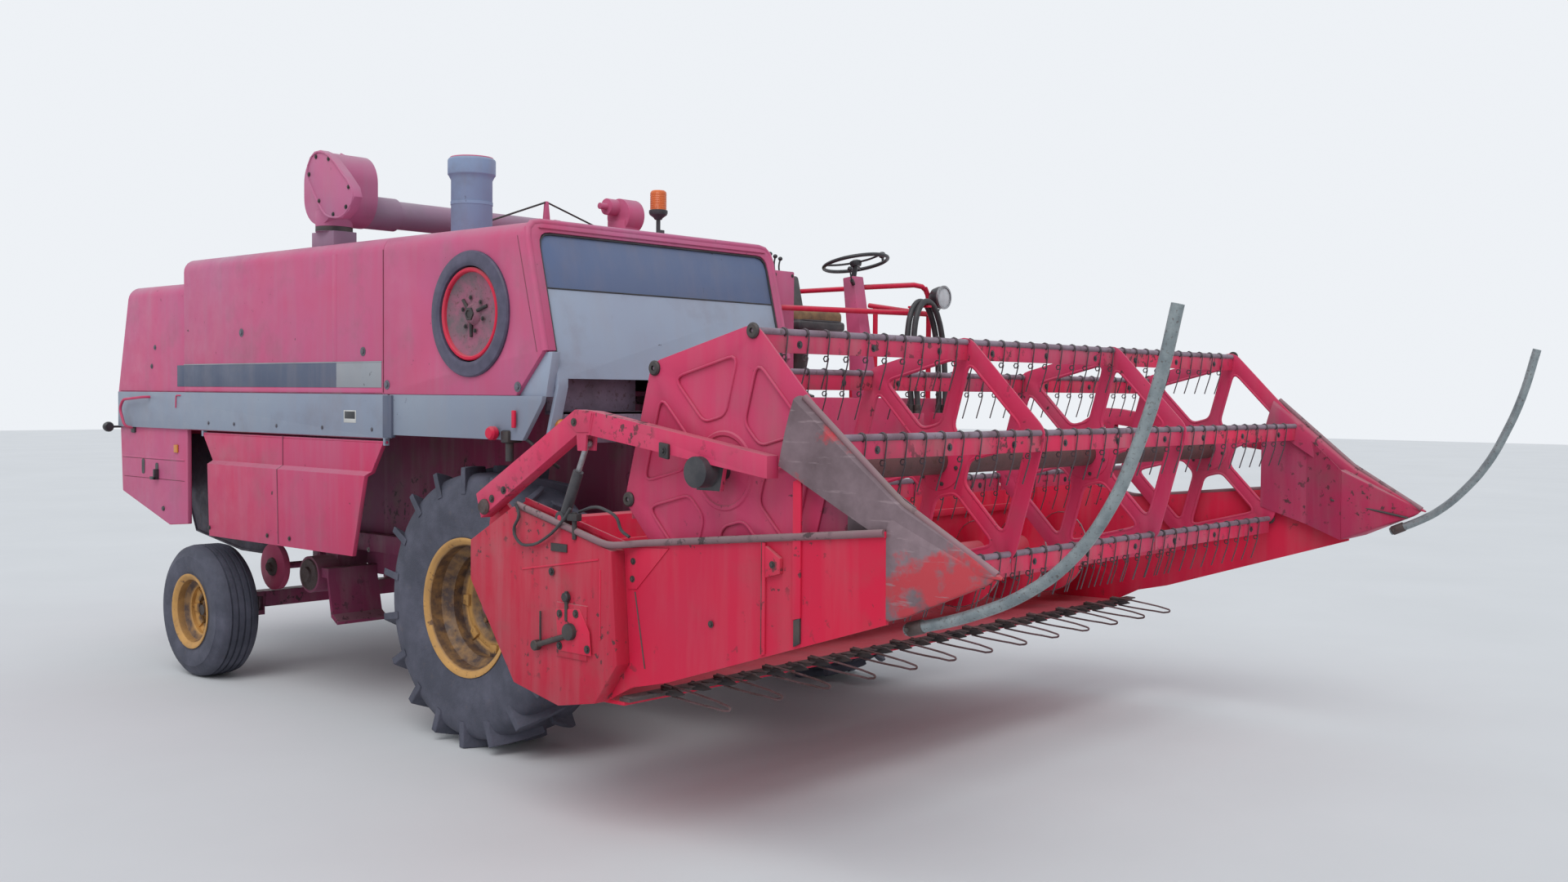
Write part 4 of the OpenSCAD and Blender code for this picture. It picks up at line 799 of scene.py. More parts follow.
SILL_Z = 1.56
SHELLS = (
    # node, edge radius, finish, slot
    ("engine_hood", 0.007, HOOD_RED_WITH_SHEEN, "red_paint"),
    ("grain_tank", 0.006, HOOD_RED_WITH_SHEEN, "red_paint"),
    ("front_panel", 0.003, SILVER, "silver_paint"),
    ("dash_panel", 0.003, DASH_SKY_REFLECTION, "dark_paint"),
    ("side_bands", 0.003, BAND_GREY, "silver_paint"),
    ("shield_right", 0.003, SIDE_RED, "red_paint"),
    ("shield_left", 0.003, SIDE_RED, "red_paint"),
    ("threshing_body", 0.004, FRAME_RED, "red_paint"),
    ("chassis_frame", 0.005, FRAME_RED, "red_paint"),
    ("front_axle", 0.005, FRAME_RED, "red_paint"),
    ("rear_axle", 0.004, FRAME_RED, "red_paint"),
    ("platform", 0.004, SIDE_RED, "red_paint"),
    ("grain_elevator", 0.004, HOOD_RED_WITH_SHEEN, "red_paint"),
    ("guard_rails", 0.0, HEADER_RED, "red_paint"),
    ("engine_block", 0.01, DARK_STEEL, "engine_iron"),
)


def make_shells():
    for node, edge, finish, slot in SHELLS:
        dressed(node, edge, finish)
    straw = dressed("straw_hood", 0.006, HOOD_RED_WITH_SHEEN)
    paint_where(straw, SIDE_RED, lambda spot: spot.z < SILL_Z)
    drive = dressed("underside_drive", 0.004, FRAME_RED)
    paint_where(drive, SIDE_RED, lambda spot: -1.08 < spot.x < -1.034 and spot.y - SHIFT.y > 2.45)
    hub = lathe([(0, 0), (0.060, 0), (0.056, 0.012), (0.030, 0.016), (0.028, 0.034), (0, 0.036)],
                (-1.075, 2.655, 0.665), OUT_RIGHT, 28)
    cover = lathe([(0, 0), (0.100, 0), (0.094, 0.010), (0.050, 0.014), (0.046, 0.030), (0, 0.032)],
                  (-1.060, 2.230, 0.650), OUT_RIGHT, 28)
    fit(join([hub, cover]), "pulley_hubs", "chassis", RUSTY)


# Half widths over the tank's and the straw hood's side sheets, and heights of the strip along them
SKIN_X = 1.52
STRAW_X = 1.50
STRIP_Z = (1.826, 1.962)
STRIP_ENDS = (0.705, 2.936)
STRIP_CHANGE = 1.15


def make_side_strip():
    """The plain two-tone strip along each side, over the step from the tank to the straw hood."""
    start, end = STRIP_ENDS
    lengths = ((start, STRIP_CHANGE, SKIN_X, STRIP_PALE), (STRIP_CHANGE, end, SKIN_X, STRIP_DARK),
               (2.945, 3.07, STRAW_X, STRIP_DARK))
    for side, name in ((RIGHT, "right"), (LEFT, "left")):
        parts = []
        for y0, y1, skin, finish in lengths:
            strip = block((skin, y0, STRIP_Z[0]), (skin + 0.0025, y1, STRIP_Z[1]), 0.001)
            parts.append(painted(on_side(strip, side), finish))
        trim = block((SKIN_X, 0.702, STRIP_Z[1]), (SKIN_X + 0.0035, end, STRIP_Z[1] + 0.006))
        parts.append(painted(on_side(trim, side), STRIP_PALE))
        fit(join(parts), "side_strip_" + name, "chassis", None)


def on_skin(side, skin):
    """The two X values, in order, of a thin raised line on a side sheet."""
    return sorted((side * (skin - 0.0005), side * (skin + 0.0012)))


def make_seams():
    """Lapped joints between the sheets: thin grimy lines and the raised edge beside them."""
    half = 0.002
    lines = []
    laps = []
    for side in (RIGHT, LEFT):
        skin, proud = on_skin(side, SKIN_X)
        for y, z0, z1 in ((0.692, 1.80, 2.56), (0.692, 1.56, 1.785)):
            lines.append(block((skin, y - half, z0), (proud, y + half, z1)))
        for y0, y1, z in ((0.70, 2.93, 1.795), (0.70, 2.93, 1.5545)):
            lines.append(block((skin, y0, z - half), (proud, y1, z + half)))
        laps.append(block((skin, 1.15, 1.97), (proud, 1.19, 2.56), 0.0006))
        laps.append(block((skin, 0.70, 1.800), (proud, 2.93, 1.822), 0.0006))
        skin, proud = on_skin(side, STRAW_X)
        for y0, y1, z in ((2.98, 3.86, 1.348), (2.98, 3.84, 1.220), (2.945, 3.89, 1.795)):
            lines.append(block((skin, y0, z - half), (proud, y1, z + half)))
        laps.append(block((skin, 2.98, 1.350), (proud, 3.87, 1.362), 0.0006))
    fit(join(lines), "sheet_seams", "chassis", SEAM_RED)
    fit(join(laps), "sheet_laps", "chassis", HOOD_RED_WITH_SHEEN)


# Hood, tank and platform fittings

SCREEN_AT = Vector((-1.52, -0.083, 2.195))

# The hood's sloping face: the middle of its top edge, the way down it and the way out from it
FACE_TOP = Vector((0, -0.490, 2.630))
FACE_DOWN = Vector((0, -0.2404, -0.9707))
FACE_OUT = Vector((0, -0.9707, 0.2404))


def face_spot(x, down, out=0.0):
    """A place on the hood's sloping face: down it from the top edge, and out from it."""
    return FACE_TOP + Vector((x, 0, 0)) + FACE_DOWN * down + FACE_OUT * out


def face_arch(x0, x1, bottom, top, out=0.0):
    """Corners up the face at x0, across at top and down again at x1."""
    return [face_spot(x0, bottom, out), face_spot(x0, top, out),
            face_spot(x1, top, out), face_spot(x1, bottom, out)]


def make_hood_face():
    """Rounded red frame with its gasket round the two front panels."""
    corners = face_arch(-1.503, 0.223, 0.645, -0.004) + face_arch(-1.446, 0.176, 0.645, 0.052)[::-1]
    band = plate(rounded_outline(corners, [0, 0.09, 0.09, 0, 0, 0.075, 0.075, 0]), FACE_OUT * 0.014, 0.004)
    rim = tube(face_arch(-1.503, 0.223, 0.645, 0.0), 0.018, 0.085)
    gasket = tube(face_arch(-1.441, 0.171, 0.66, 0.058, 0.004), 0.006, 0.075, 8)
    middle = pipe([face_spot(-1.44, 0.331), face_spot(0.17, 0.331)], 0.004, 8, "VECTOR", 1)
    seam = plate_x([(-0.452, 2.56), (-0.456, 2.56), (-0.606, 2.00), (-0.602, 2.00)],
                   -SKIN_X - 0.0005, -SKIN_X - 0.0015)
    hem = block((-1.44, -0.520, 2.600), (0.17, -0.506, 2.604))
    corner = plate_x([(-0.641, 1.786), (-0.668, 1.90), (-0.690, 2.00), (-0.60, 2.00), (-0.44, 1.786)],
                     -1.496, -1.448, 0.003)
    parts = [painted(join([band, rim, hem]), HOOD_RED_WITH_SHEEN), painted(join([gasket, middle]), BLACK_PLASTIC),
             painted(seam, SEAM_RED), painted(corner, SILVER)]
    fit(join(parts), "hood_face_frame", "chassis", None)


def make_front_recess():
    """Brown recess below the right front panel, with a pipe across it and a small orange lamp."""
    recess = [block((-1.40, -0.530, 1.716), (-0.82, -0.515, 1.90), 0.003),
              block((-1.40, -0.600, 1.700), (-0.82, -0.515, 1.716), 0.003),
              block((-1.40, -0.600, 1.560), (-0.82, -0.585, 1.716), 0.003)]
    supply = pipe([(-1.36, -0.60, 1.59), (-1.30, -0.64, 1.62), (-1.05, -0.64, 1.60), (-0.90, -0.61, 1.66)],
                  0.014, 10)
    lamp_at = (-1.395, -0.606, 1.650)
    bulb = lathe([(0, 0), (0.026, 0), (0.030, 0.010), (0.030, 0.034), (0.020, 0.044), (0, 0.046)],
                 lamp_at, AHEAD, 20)
    holder = lathe([(0, -0.012), (0.034, -0.012), (0.034, 0.002), (0, 0.002)], lamp_at, AHEAD, 20)
    parts = [painted(join(recess), RECESS_BROWN), painted(supply, DARK_STEEL), painted(bulb, ORANGE_LENS),
             painted(holder, BLACK_PLASTIC)]
    fit(join(parts), "front_recess", "chassis", None)


def make_tank_cap():
    """Red filler cap, tap lever and dark valve ahead of the right wheel."""
    x = -1.50
    red = [lathe([(0, 0), (0.030, 0), (0.034, 0.006), (0.034, 0.030), (0.026, 0.042), (0, 0.044)],
                 (x - 0.03, -0.296, 1.607), OUT_RIGHT, 20),
           block((x - 0.040, -0.457, 1.635), (x - 0.026, -0.433, 1.720), 0.004)]
    dark = [bar((x + 0.10, -0.296, 1.607), (x - 0.03, -0.296, 1.607), 0.016, 12),
            block((x - 0.035, -0.400, 1.560), (x + 0.06, -0.340, 1.622), 0.010),
            bar((x, -0.37, 1.56), (x, -0.37, 1.47), 0.020, 14),
            bar((x, -0.300, 1.600), (x, -0.445, 1.585), 0.012, 10),
            pipe([(x, -0.445, 1.59), (x + 0.02, -0.50, 1.57), (x + 0.08, -0.52, 1.50),
                  (x + 0.20, -0.50, 1.44)], 0.009)]
    parts = [painted(join(red), HEADER_RED), painted(join(dark), DARK_STEEL)]
    fit(join(parts), "filler_and_tap", "chassis", None)


def make_air_screen():
    """Black fixed ring, and the dusty dished rotor that spins in it with its bright red rim."""
    ring = lathe([(0.238, 0.0), (0.315, 0.0), (0.315, 0.010), (0.309, 0.018), (0.262, 0.026), (0.250, 0.025),
                  (0.240, 0.018)], SCREEN_AT, OUT_RIGHT, 72)
    strap = block((-1.490, -0.348, 2.165), (-1.478, 0.182, 2.225), 0.002)
    stub = bar((-1.484, -0.083, 2.195), (-1.532, -0.083, 2.195), 0.0198, 20)
    screen = join([painted(ring, SCREEN_BLACK), painted(join([strap, stub]), DARK_STEEL)])
    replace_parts(fit(screen, "screen_ring", "chassis", None), "air_screen")

    bore = 0.0212
    dish = lathe([(bore, 0.006), (0.040, 0.007), (0.050, -0.004), (0.058, -0.018), (0.125, -0.023),
                  (0.180, -0.014), (0.208, -0.004), (0.210, 0.009), (0.215, 0.014), (0.226, 0.014),
                  (0.232, 0.008), (0.232, -0.004), (0.210, -0.012), (0.180, -0.020), (0.125, -0.029),
                  (0.058, -0.026), (bore, -0.026)], SCREEN_AT, OUT_RIGHT, 72)
    painted(dish, SCREEN_DUST)
    paint_where(dish, HEADER_RED, lambda spot: math.hypot(spot.y - SCREEN_AT.y, spot.z - SCREEN_AT.z) > 0.206)
    nut = lathe([(bore, 0.004), (0.036, 0.004), (0.034, 0.014), (bore, 0.016)], SCREEN_AT, OUT_RIGHT, 6)
    arms = []
    for k in range(3):
        turn = math.radians(40 + 120 * k)
        way = Vector((0, math.cos(turn), math.sin(turn)))
        foot = SCREEN_AT + Vector((0.006, 0, 0))
        arms.append(bar(foot + way * 0.045, foot + way * 0.115 + Vector((0.012, 0, 0)), 0.009, 8))
    screws = bolt_heads([SCREEN_AT + Vector((0.012, 0.085 * math.cos(a), 0.085 * math.sin(a)))
                         for a in (0.3, 1.35, 2.4, 3.44, 4.5, 5.5)], OUT_RIGHT, 0.007, 0.008)
    rotor = join([dish, painted(join([nut, *arms, screws]), DARK_STEEL)])
    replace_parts(fit(rotor, "screen_dish", "screen_rotor", None), "screen_rotor")


def make_stack():
    """Air intake with its capped top, on a skirt."""
    low, high = span("intake_stack")
    spot = ((low.x + high.x) / 2, (low.y + high.y) / 2, low.z)
    tall = high.z - low.z
    pipe_r = 0.112
    stack = lathe([(0, 0), (pipe_r, 0), (pipe_r, tall - 0.120), (0.124, tall - 0.096), (0.130, tall - 0.090),
                   (0.130, tall - 0.010), (0.122, tall), (0, tall)], spot, UP, 56)
    round_edges(stack, 0.004)
    hoop = lathe([(pipe_r, 0.20), (0.1145, 0.20), (0.1145, 0.218), (pipe_r, 0.218)], spot, UP, 56)
    lid = lathe([(0.0, tall), (0.120, tall), (0.116, tall + 0.006), (0, tall + 0.008)], spot, UP, 56)
    skirt = lathe([(pipe_r, 0.0), (0.150, 0.0), (0.148, 0.006), (0.120, 0.012), (pipe_r, 0.030)],
                  spot, UP, 56)
    parts = [painted(join([stack, hoop]), STACK_GREY), painted(join([lid, skirt]), HOOD_RED_WITH_SHEEN)]
    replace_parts(fit(join(parts), "intake_pipe", "chassis", None), "intake_stack")


def beacon():
    """Amber ribbed lens on a black stem."""
    foot = Vector((-0.31, -0.15, 2.63))
    stem = lathe([(0, 0), (0.030, 0), (0.030, 0.006), (0.014, 0.012), (0.012, 0.018), (0.012, 0.148),
                  (0, 0.148)], foot, UP, 16)
    cup = lathe([(0, 0.140), (0.020, 0.140), (0.026, 0.150), (0.048, 0.166), (0.052, 0.176), (0.052, 0.190),
                 (0.046, 0.194), (0, 0.194)], foot, UP, 32)
    clip = block(foot + Vector((0.008, -0.010, 0.055)), foot + Vector((0.040, 0.010, 0.085)), 0.003)
    ribs = [(0.046 - 0.0015 * (k % 2), 0.194 + 0.004 * k) for k in range(24)]
    top = [(0.044, 0.292), (0.036, 0.300), (0, 0.302)]
    lens = lathe([(0, 0.190), (0.046, 0.190)] + ribs + top, foot, UP, 36)
    return [painted(join([stem, cup, clip]), BLACK_PAINT), painted(lens, AMBER)]


def work_lamp():
    """Round lamp with a bright rim, on the rail ahead of the driver."""
    centre = Vector((1.45, -0.832, 2.41))
    back = (0, 1, 0)
    shell = lathe([(0, 0.088), (0.036, 0.088), (0.058, 0.066), (0.068, 0.030), (0.070, 0.004), (0.072, 0.0),
                   (0.072, -0.006), (0.064, -0.008), (0.062, 0.002), (0, 0.004)], centre, back, 40)
    rim = lathe([(0.060, -0.010), (0.072, -0.008), (0.073, 0.0), (0.071, 0.006), (0.062, -0.002)],
                centre, back, 40)
    glass = lathe([(0, -0.010), (0.030, -0.008), (0.062, -0.002), (0.062, 0.002), (0, 0.002)],
                  centre, back, 40)
    neck = block((1.438, -0.750, 2.398), (1.462, -0.736, 2.422), 0.003)
    bolt = bolt_heads([(1.45, -0.79, 2.340)], -UP, 0.010, 0.012)
    return [painted(join([shell, neck, bolt]), BLACK_PAINT), painted(rim, BRIGHT_STEEL), painted(glass, LENS)]


def make_lamps():
    lamps = join(beacon() + work_lamp())
    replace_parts(fit(lamps, "beacon_and_work_lamp", "chassis", None), "lamps")


def make_steering():
    """Red column, thin black wheel with a spinner knob, and the hand throttle beside it."""
    hub = Vector((0.95, -0.54, 2.60))
    lean = math.radians(12)
    axis = Vector((0, math.sin(lean), math.cos(lean)))
    side = OUT_LEFT
    across = axis.cross(side)
    low = span("steering")[0]
    column = plate_x([(-0.690, low.z), (-0.560, low.z), (-0.480, 2.510), (-0.560, 2.520)], 0.90, 1.00, 0.006)
    shaft = bar((0.95, -0.520, 2.49), hub, 0.016, 16)
    wheel_r, grip_r = 0.195, 0.011
    grip = [(wheel_r + grip_r * math.cos(a * math.pi / 5), grip_r * math.sin(a * math.pi / 5))
            for a in range(10)]
    rim = lathe(grip, hub, axis, 56)
    spokes = []
    for a in (30, 150, 270):
        way = side * math.cos(math.radians(a)) + across * math.sin(math.radians(a))
        spokes.append(pipe([hub + way * 0.030, hub + way * 0.11 - axis * 0.004, hub + way * 0.194],
                           0.0065, 8))
    boss = lathe([(0, -0.020), (0.030, -0.020), (0.036, -0.006), (0.036, 0.010), (0.028, 0.014), (0, 0.014)],
                 hub, axis, 28)
    cap = lathe([(0, 0.013), (0.020, 0.013), (0.018, 0.020), (0.010, 0.024), (0, 0.025)], hub, axis, 24)
    knob_at = hub + side * 0.183 - across * 0.068
    knob = lathe([(0, 0.008), (0.008, 0.010), (0.008, 0.026), (0.019, 0.034), (0.023, 0.046), (0.019, 0.058),
                  (0.010, 0.064), (0, 0.065)], knob_at, axis, 20)
    throttle = [bar((0.905, -0.56, 2.47), (0.865, -0.58, 2.49), 0.012, 12),
                bar((0.865, -0.58, 2.485), (0.835, -0.59, 2.545), 0.005, 8),
                lathe([(0, 0), (0.014, 0.006), (0.016, 0.016), (0.010, 0.028), (0, 0.030)],
                      (0.835, -0.59, 2.540), UP, 16)]
    black = join([shaft, rim, boss, knob, *spokes, *throttle])
    parts = [painted(column, HOOD_RED_WITH_SHEEN), painted(black, BLACK_PLASTIC), painted(cap, PALE_CAP)]
    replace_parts(fit(join(parts), "steering_wheel_and_column", "chassis", None), "steering")


def make_console():
    """Red lever box with four bent black levers."""
    low, high = span("control_console")
    box = block((low.x, low.y, low.z), (high.x, high.y, 2.515), 0.008)
    slots = block((0.285, -0.412, 2.514), (0.445, -0.388, 2.517), 0.002)
    handles, knobs = [], []
    for k in range(4):
        top = Vector((0.295 + 0.044 * k, -0.400, 2.628 - 0.011 * k))
        foot = Vector((0.300 + 0.040 * k, -0.400, 2.512))
        handles.append(pipe([foot, foot.lerp(top, 0.5) + Vector((-0.008, 0, 0)), top], 0.005, 8))
        knobs.append(lathe([(0, -0.013), (0.010, -0.009), (0.014, 0.0), (0.010, 0.009), (0, 0.013)],
                           top, UP, 16))
    corners = [(x, low.y, z) for z in (2.49, 2.1) for x in (low.x + 0.02, high.x - 0.02)]
    rivets = bolt_heads(corners, AHEAD, 0.006, 0.005)
    parts = [painted(box, HOOD_RED_WITH_SHEEN), painted(join([slots, *handles, *knobs]), BLACK_PLASTIC),
             painted(rivets, DARK_STEEL)]
    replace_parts(fit(join(parts), "lever_box", "chassis", None), "control_console")


def make_seat():
    """Worn tan cushion on a black shell with piped edges, a leaning back, and a pedestal."""
    low, high = span("seat")
    x0, x1, y0, y1 = 0.75, 1.19, -0.27, 0.13
    top = high.z - 0.250
    cushion = round_edges(block((x0 + 0.01, y0 + 0.01, top - 0.09), (x1 - 0.01, y1 - 0.01, top)), 0.035, 5)
    pan = round_edges(block((x0, y0, top - 0.130), (x1, y1, top - 0.070)), 0.020, 4)
    back = plate_x([(0.055, top - 0.02), (0.125, top - 0.02), (0.178, top + 0.225), (0.150, top + 0.240),
                    (0.115, top + 0.235)], x0 + 0.01, x1 - 0.01)
    round_edges(back, 0.022, 4)
    inset = 0.012
    corners = [(x0 + inset, y0 + inset), (x1 - inset, y0 + inset), (x1 - inset, y1 - inset),
               (x0 + inset, y1 - inset)]
    edge = rounded_outline([(x, y, top - 0.070) for x, y in corners], 0.05)
    piping = pipe(edge, 0.006, 8, "VECTOR", 1, True)
    tall = top - 0.12 - low.z
    stem = lathe([(0, 0), (0.11, 0), (0.11, 0.012), (0.060, 0.030), (0.060, tall), (0, tall)],
                 (0.97, -0.06, low.z), UP, 28)
    parts = [painted(cushion, SEAT_TAN), painted(join([pan, back, piping]), SEAT_VINYL),
             painted(stem, DARK_STEEL)]
    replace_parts(fit(join(parts), "driver_seat", "chassis", None), "seat")


def make_hoses():
    """Two hydraulic hoses with crimped steel ends, looped over the clip on the rail."""
    path = [(1.186, 1.700), (1.186, 1.760), (1.174, 1.850), (1.158, 1.950), (1.146, 2.050), (1.142, 2.140),
            (1.150, 2.220), (1.170, 2.290), (1.205, 2.345), (1.255, 2.375), (1.310, 2.368), (1.355, 2.330),
            (1.392, 2.270), (1.420, 2.200), (1.442, 2.110), (1.456, 2.010), (1.464, 1.910), (1.470, 1.800),
            (1.470, 1.700)]
    hose_r = 0.018
    rubber, crimps = [], []
    for y, shift in ((-0.790, 0.0), (-0.832, 0.008)):
        points = [(x + shift, y, z) for x, z in path]
        rubber.append(pipe(points, hose_r, 16, "AUTO", 4))
        for foot in (points[0], points[-1]):
            crimps.append(lathe([(0.018, 0), (0.021, 0.0), (0.021, 0.012), (0.0195, 0.016), (0.021, 0.020),
                                 (0.021, 0.050), (0.018, 0.052)], foot, UP, 18))
    parts = [painted(join(rubber), HOSE_BLACK), painted(join(crimps), DARK_STEEL)]
    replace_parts(fit(join(parts), "hydraulic_hoses", "chassis", None, 50), "hoses")


def make_tank_top():
    """Ridge post over the tank's mouth with its two stays, and the cross bar."""
    y, foot_z, peak_z = 1.20, 2.64, 3.012
    foot = [(x, y + dy, foot_z) for x in (-0.045, 0.035) for dy in (-0.025, 0.025)]
    peak = [(x, y + dy, peak_z) for x in (-0.018, 0.004) for dy in (-0.010, 0.010)]
    post = hull_of(foot + peak, 0.003)
    cross = block((-1.03, y - 0.020, 2.628), (1.25, y + 0.020, 2.652), 0.004)
    stays = [bar((-0.012, y, 3.006), (-1.00, y, 2.648), 0.006, 8),
             bar((0.0, y, 3.006), (1.24, y, 2.648), 0.006, 8)]
    parts = [painted(join([post, cross]), HOOD_RED_WITH_SHEEN), painted(join(stays), DARK_STEEL)]
    fit(join(parts), "tank_ridge", "chassis", None)


# Outline of the unloader's chain case about the tube's axis, in millimetres: [y, z]
CASE_OUTLINE = [(57, 200), (20, 280), (-30, 309), (-97, 311), (-184, 280), (-325, 166), (-425, 75),
                (-447, 19), (-394, -52), (-325, -89), (-240, -89), (-148, -67), (-67, 12), (10, 110)]
TUBE_Y = 1.561
TUBE_Z = 2.868


def case_loop(points, share, ahead, up):
    """Places on the case's outer face, round its outline at this share of its size, moved ahead and up."""
    x = -1.4302
    return [(x, TUBE_Y + share / 1000 * y - ahead, TUBE_Z + share / 1000 * z + up) for y, z in points]


def make_unloader():
    """Raised rim and bolts of the chain case, straps on the tube, and the seam of the elbow."""
    riser = dressed("unloader_riser", 0.005, TUBE_RED_HAZED)
    paint_where(riser, DARK_STEEL, lambda spot: spot.z > 2.735)
    spout = dressed("unloader_tube", 0.006, TUBE_RED_HAZED)
    paint_where(spout, ELBOW_RED, lambda spot: spot.x < -1.09)
    rim = pipe(case_loop(CASE_OUTLINE, 0.95, 0.008, 0.004), 0.006, 8, "AUTO", 2, True)
    heads = bolt_heads(case_loop(CASE_OUTLINE[::2], 0.86, 0.024, 0.012), OUT_RIGHT, 0.008, 0.008)
    strap = [(0.083, 0), (0.0885, 0), (0.0885, 0.03), (0.083, 0.03)]
    straps = [lathe(strap, (along, TUBE_Y, TUBE_Z), OUT_LEFT, 36) for along in (-0.45, 0.35)]
    seam = tube([(-1.24, 1.398, 2.95), (-1.24, 1.398, 3.03), (-1.24, 1.45, 3.15), (-1.24, TUBE_Y, 3.190)],
                0.006, 0.05, 8)
    parts = [painted(join([rim, seam, *straps]), ELBOW_RED), painted(heads, DARK_STEEL)]
    fit(join(parts), "elbow_fittings", "unloader", None)


def make_walker_sides():
    """Side sheets of the straw walkers, inside the straw hood and above the rear tyres, painted near black as
    the shade there.
    """
    outline = [(2.62, 1.50), (3.86, 1.50), (3.86, 1.10), (3.72, 0.83), (3.10, 0.745), (2.62, 0.745)]
    sheet = plate_x(outline, -1.053, -1.045, 0.002)
    ribs = [block((-1.062, y, 0.80), (-1.053, y + 0.03, 1.49), 0.003) for y in (2.80, 3.15, 3.50)]
    hem = pipe([(-1.051, *spot) for spot in outline[1:]], 0.010, 8, "VECTOR", 1)
    fit(both_sides(join([sheet, hem] + ribs)), "walker_sides", "chassis", WALKER_SHADE)


def side_bolts(side):
    """Bolts on one side: those ahead of the tank are on the right alone."""
    x = side * (SKIN_X + 0.0002)
    large = [(2.205, 2.152), (0.884, 2.021)]
    if side == RIGHT:
        large += [(0.655, 1.841), (-0.459, 1.833)]
    rear = side * (STRAW_X + 0.0002)
    out = (side, 0, 0)
    return [bolt_heads([(x, y, z) for y, z in large], out, 0.015, 0.010),
            bolt_heads([(rear, 3.381, 2.082), (rear, 3.428, 1.959)], out, 0.010, 0.008),
            bolt_heads([(x, y, 1.60) for y in (0.80, 1.30, 1.80, 2.30, 2.62)], out, 0.007, 0.006)]


def make_side_fittings():
    """Bolts, plates, grab handle, reflector and rear lamp on the right side, and bolts on the left."""
    bolts = join(side_bolts(RIGHT) + side_bolts(LEFT))
    x = -SKIN_X - 0.0002
    plate_pale = block((x - 0.0015, 0.955, 1.633), (x, 1.076, 1.701), 0.0005)
    plate_dark = block((x - 0.0025, 0.963, 1.655), (x, 1.066, 1.695), 0.0005)
    cover = block((x - 0.010, 0.603, 1.560), (x + 0.02, 0.685, 1.786), 0.005)
    reflector = round_edges(block((-1.511, 3.060, 1.400), (-STRAW_X, 3.110, 1.452)), 0.004, 3)

    slots = []
    for y, z in ((3.559, 1.296), (3.363, 1.275)):
        corners = [(y - 0.020, z - 0.05), (y + 0.020, z - 0.05), (y + 0.020, z + 0.05), (y - 0.020, z + 0.05)]
        slots.append(plate_x(rounded_outline(corners, 0.018), -STRAW_X - 0.0002, -STRAW_X - 0.003))
    hook = [block((-1.535, 3.335, 1.215), (-STRAW_X, 3.352, 1.285), 0.004),
            block((-1.535, 3.335, 1.215), (-1.522, 3.40, 1.235), 0.004),
            lathe([(0, 0), (0.017, 0), (0.014, 0.008), (0, 0.009)], (-STRAW_X - 0.0002, 3.272, 1.029),
                  OUT_RIGHT, 16)]
    lamp = [bar((-STRAW_X, 3.895, 1.552), (-1.575, 3.895, 1.552), 0.008, 10),
            lathe([(0, -0.03), (0.028, -0.026), (0.034, -0.006), (0.034, 0.012), (0.026, 0.022), (0, 0.024)],
                  (-1.585, 3.895, 1.552), AHEAD, 20)]

    handle = tube([(-1.505, 3.415, 1.757), (-1.560, 3.425, 1.757), (-1.560, 3.725, 1.738),
                   (-1.560, 3.775, 1.675), (-1.560, 3.700, 1.557), (-1.505, 3.692, 1.550)], 0.009, 0.03, 10)
    upper_pad = block((-1.512, 3.395, 1.735), (-1.4995, 3.440, 1.780), 0.004)
    lower_pad = block((-1.512, 3.665, 1.515), (-1.4995, 3.720, 1.580), 0.004)
    bracket = tube([(-1.503, 2.985, 1.765), (-1.522, 2.985, 1.770), (-1.522, 3.045, 1.770),
                    (-1.522, 3.05, 1.69)], 0.005, 0.012, 8)
    parts = [painted(bolts, BOLT_GREY), painted(plate_pale, PALE_CAP), painted(plate_dark, BLACK_PLASTIC),
             painted(cover, STRIP_DARK), painted(reflector, ORANGE_LENS),
             painted(join([*slots, *hook, *lamp, lower_pad]), BLACK_PLASTIC),
             painted(join([handle, bracket, upper_pad]), SIDE_RED)]
    fit(join(parts), "side_fittings", "chassis", None)


def make_shield_fittings():
    """Vertical lap and screws on each side shield."""
    outer = [(1.520, 1.545), (1.5225, 1.545), (1.5225, 1.372), (1.5605, 1.350), (1.5525, 0.915),
             (1.5500, 0.915), (1.5575, 1.345), (1.520, 1.368)]
    for side, name in ((RIGHT, "right"), (LEFT, "left")):
        lap = plate_y([(side * x, z) for x, z in outer], 1.725, 1.731)
        screws = bolt_heads([(side * 1.5535, y, 0.955) for y in (0.78, 1.60, 1.85, 2.55)],
                            (side, 0, 0), 0.008, 0.007)
        parts = [painted(lap, SEAM_RED), painted(screws, DARK_STEEL)]
        fit(join(parts), "shield_lap_" + name, "shield_" + name, None)


# Header

HEADER_X = 2.05
HEADER_IN = 2.034
KNIFE = (-1.83, 0.600)
GUARD_PITCH = 0.152
GUARD_STEPS = range(-12, 13)
TOOTH_STEPS = range(-25, 26)
AUGER_AT = (-1.425, 0.868)
AUGER_TUBE_R = 0.12
FLIGHT_R = 0.2345
FLIGHT_PITCH = 0.45
FLIGHT_GAP = 0.42


def along_bar(piece, steps, pitch=GUARD_PITCH):
    """The piece repeated along the cutter bar, once for each step."""
    return repeated(piece, [(k * pitch, 0, 0) for k in steps])


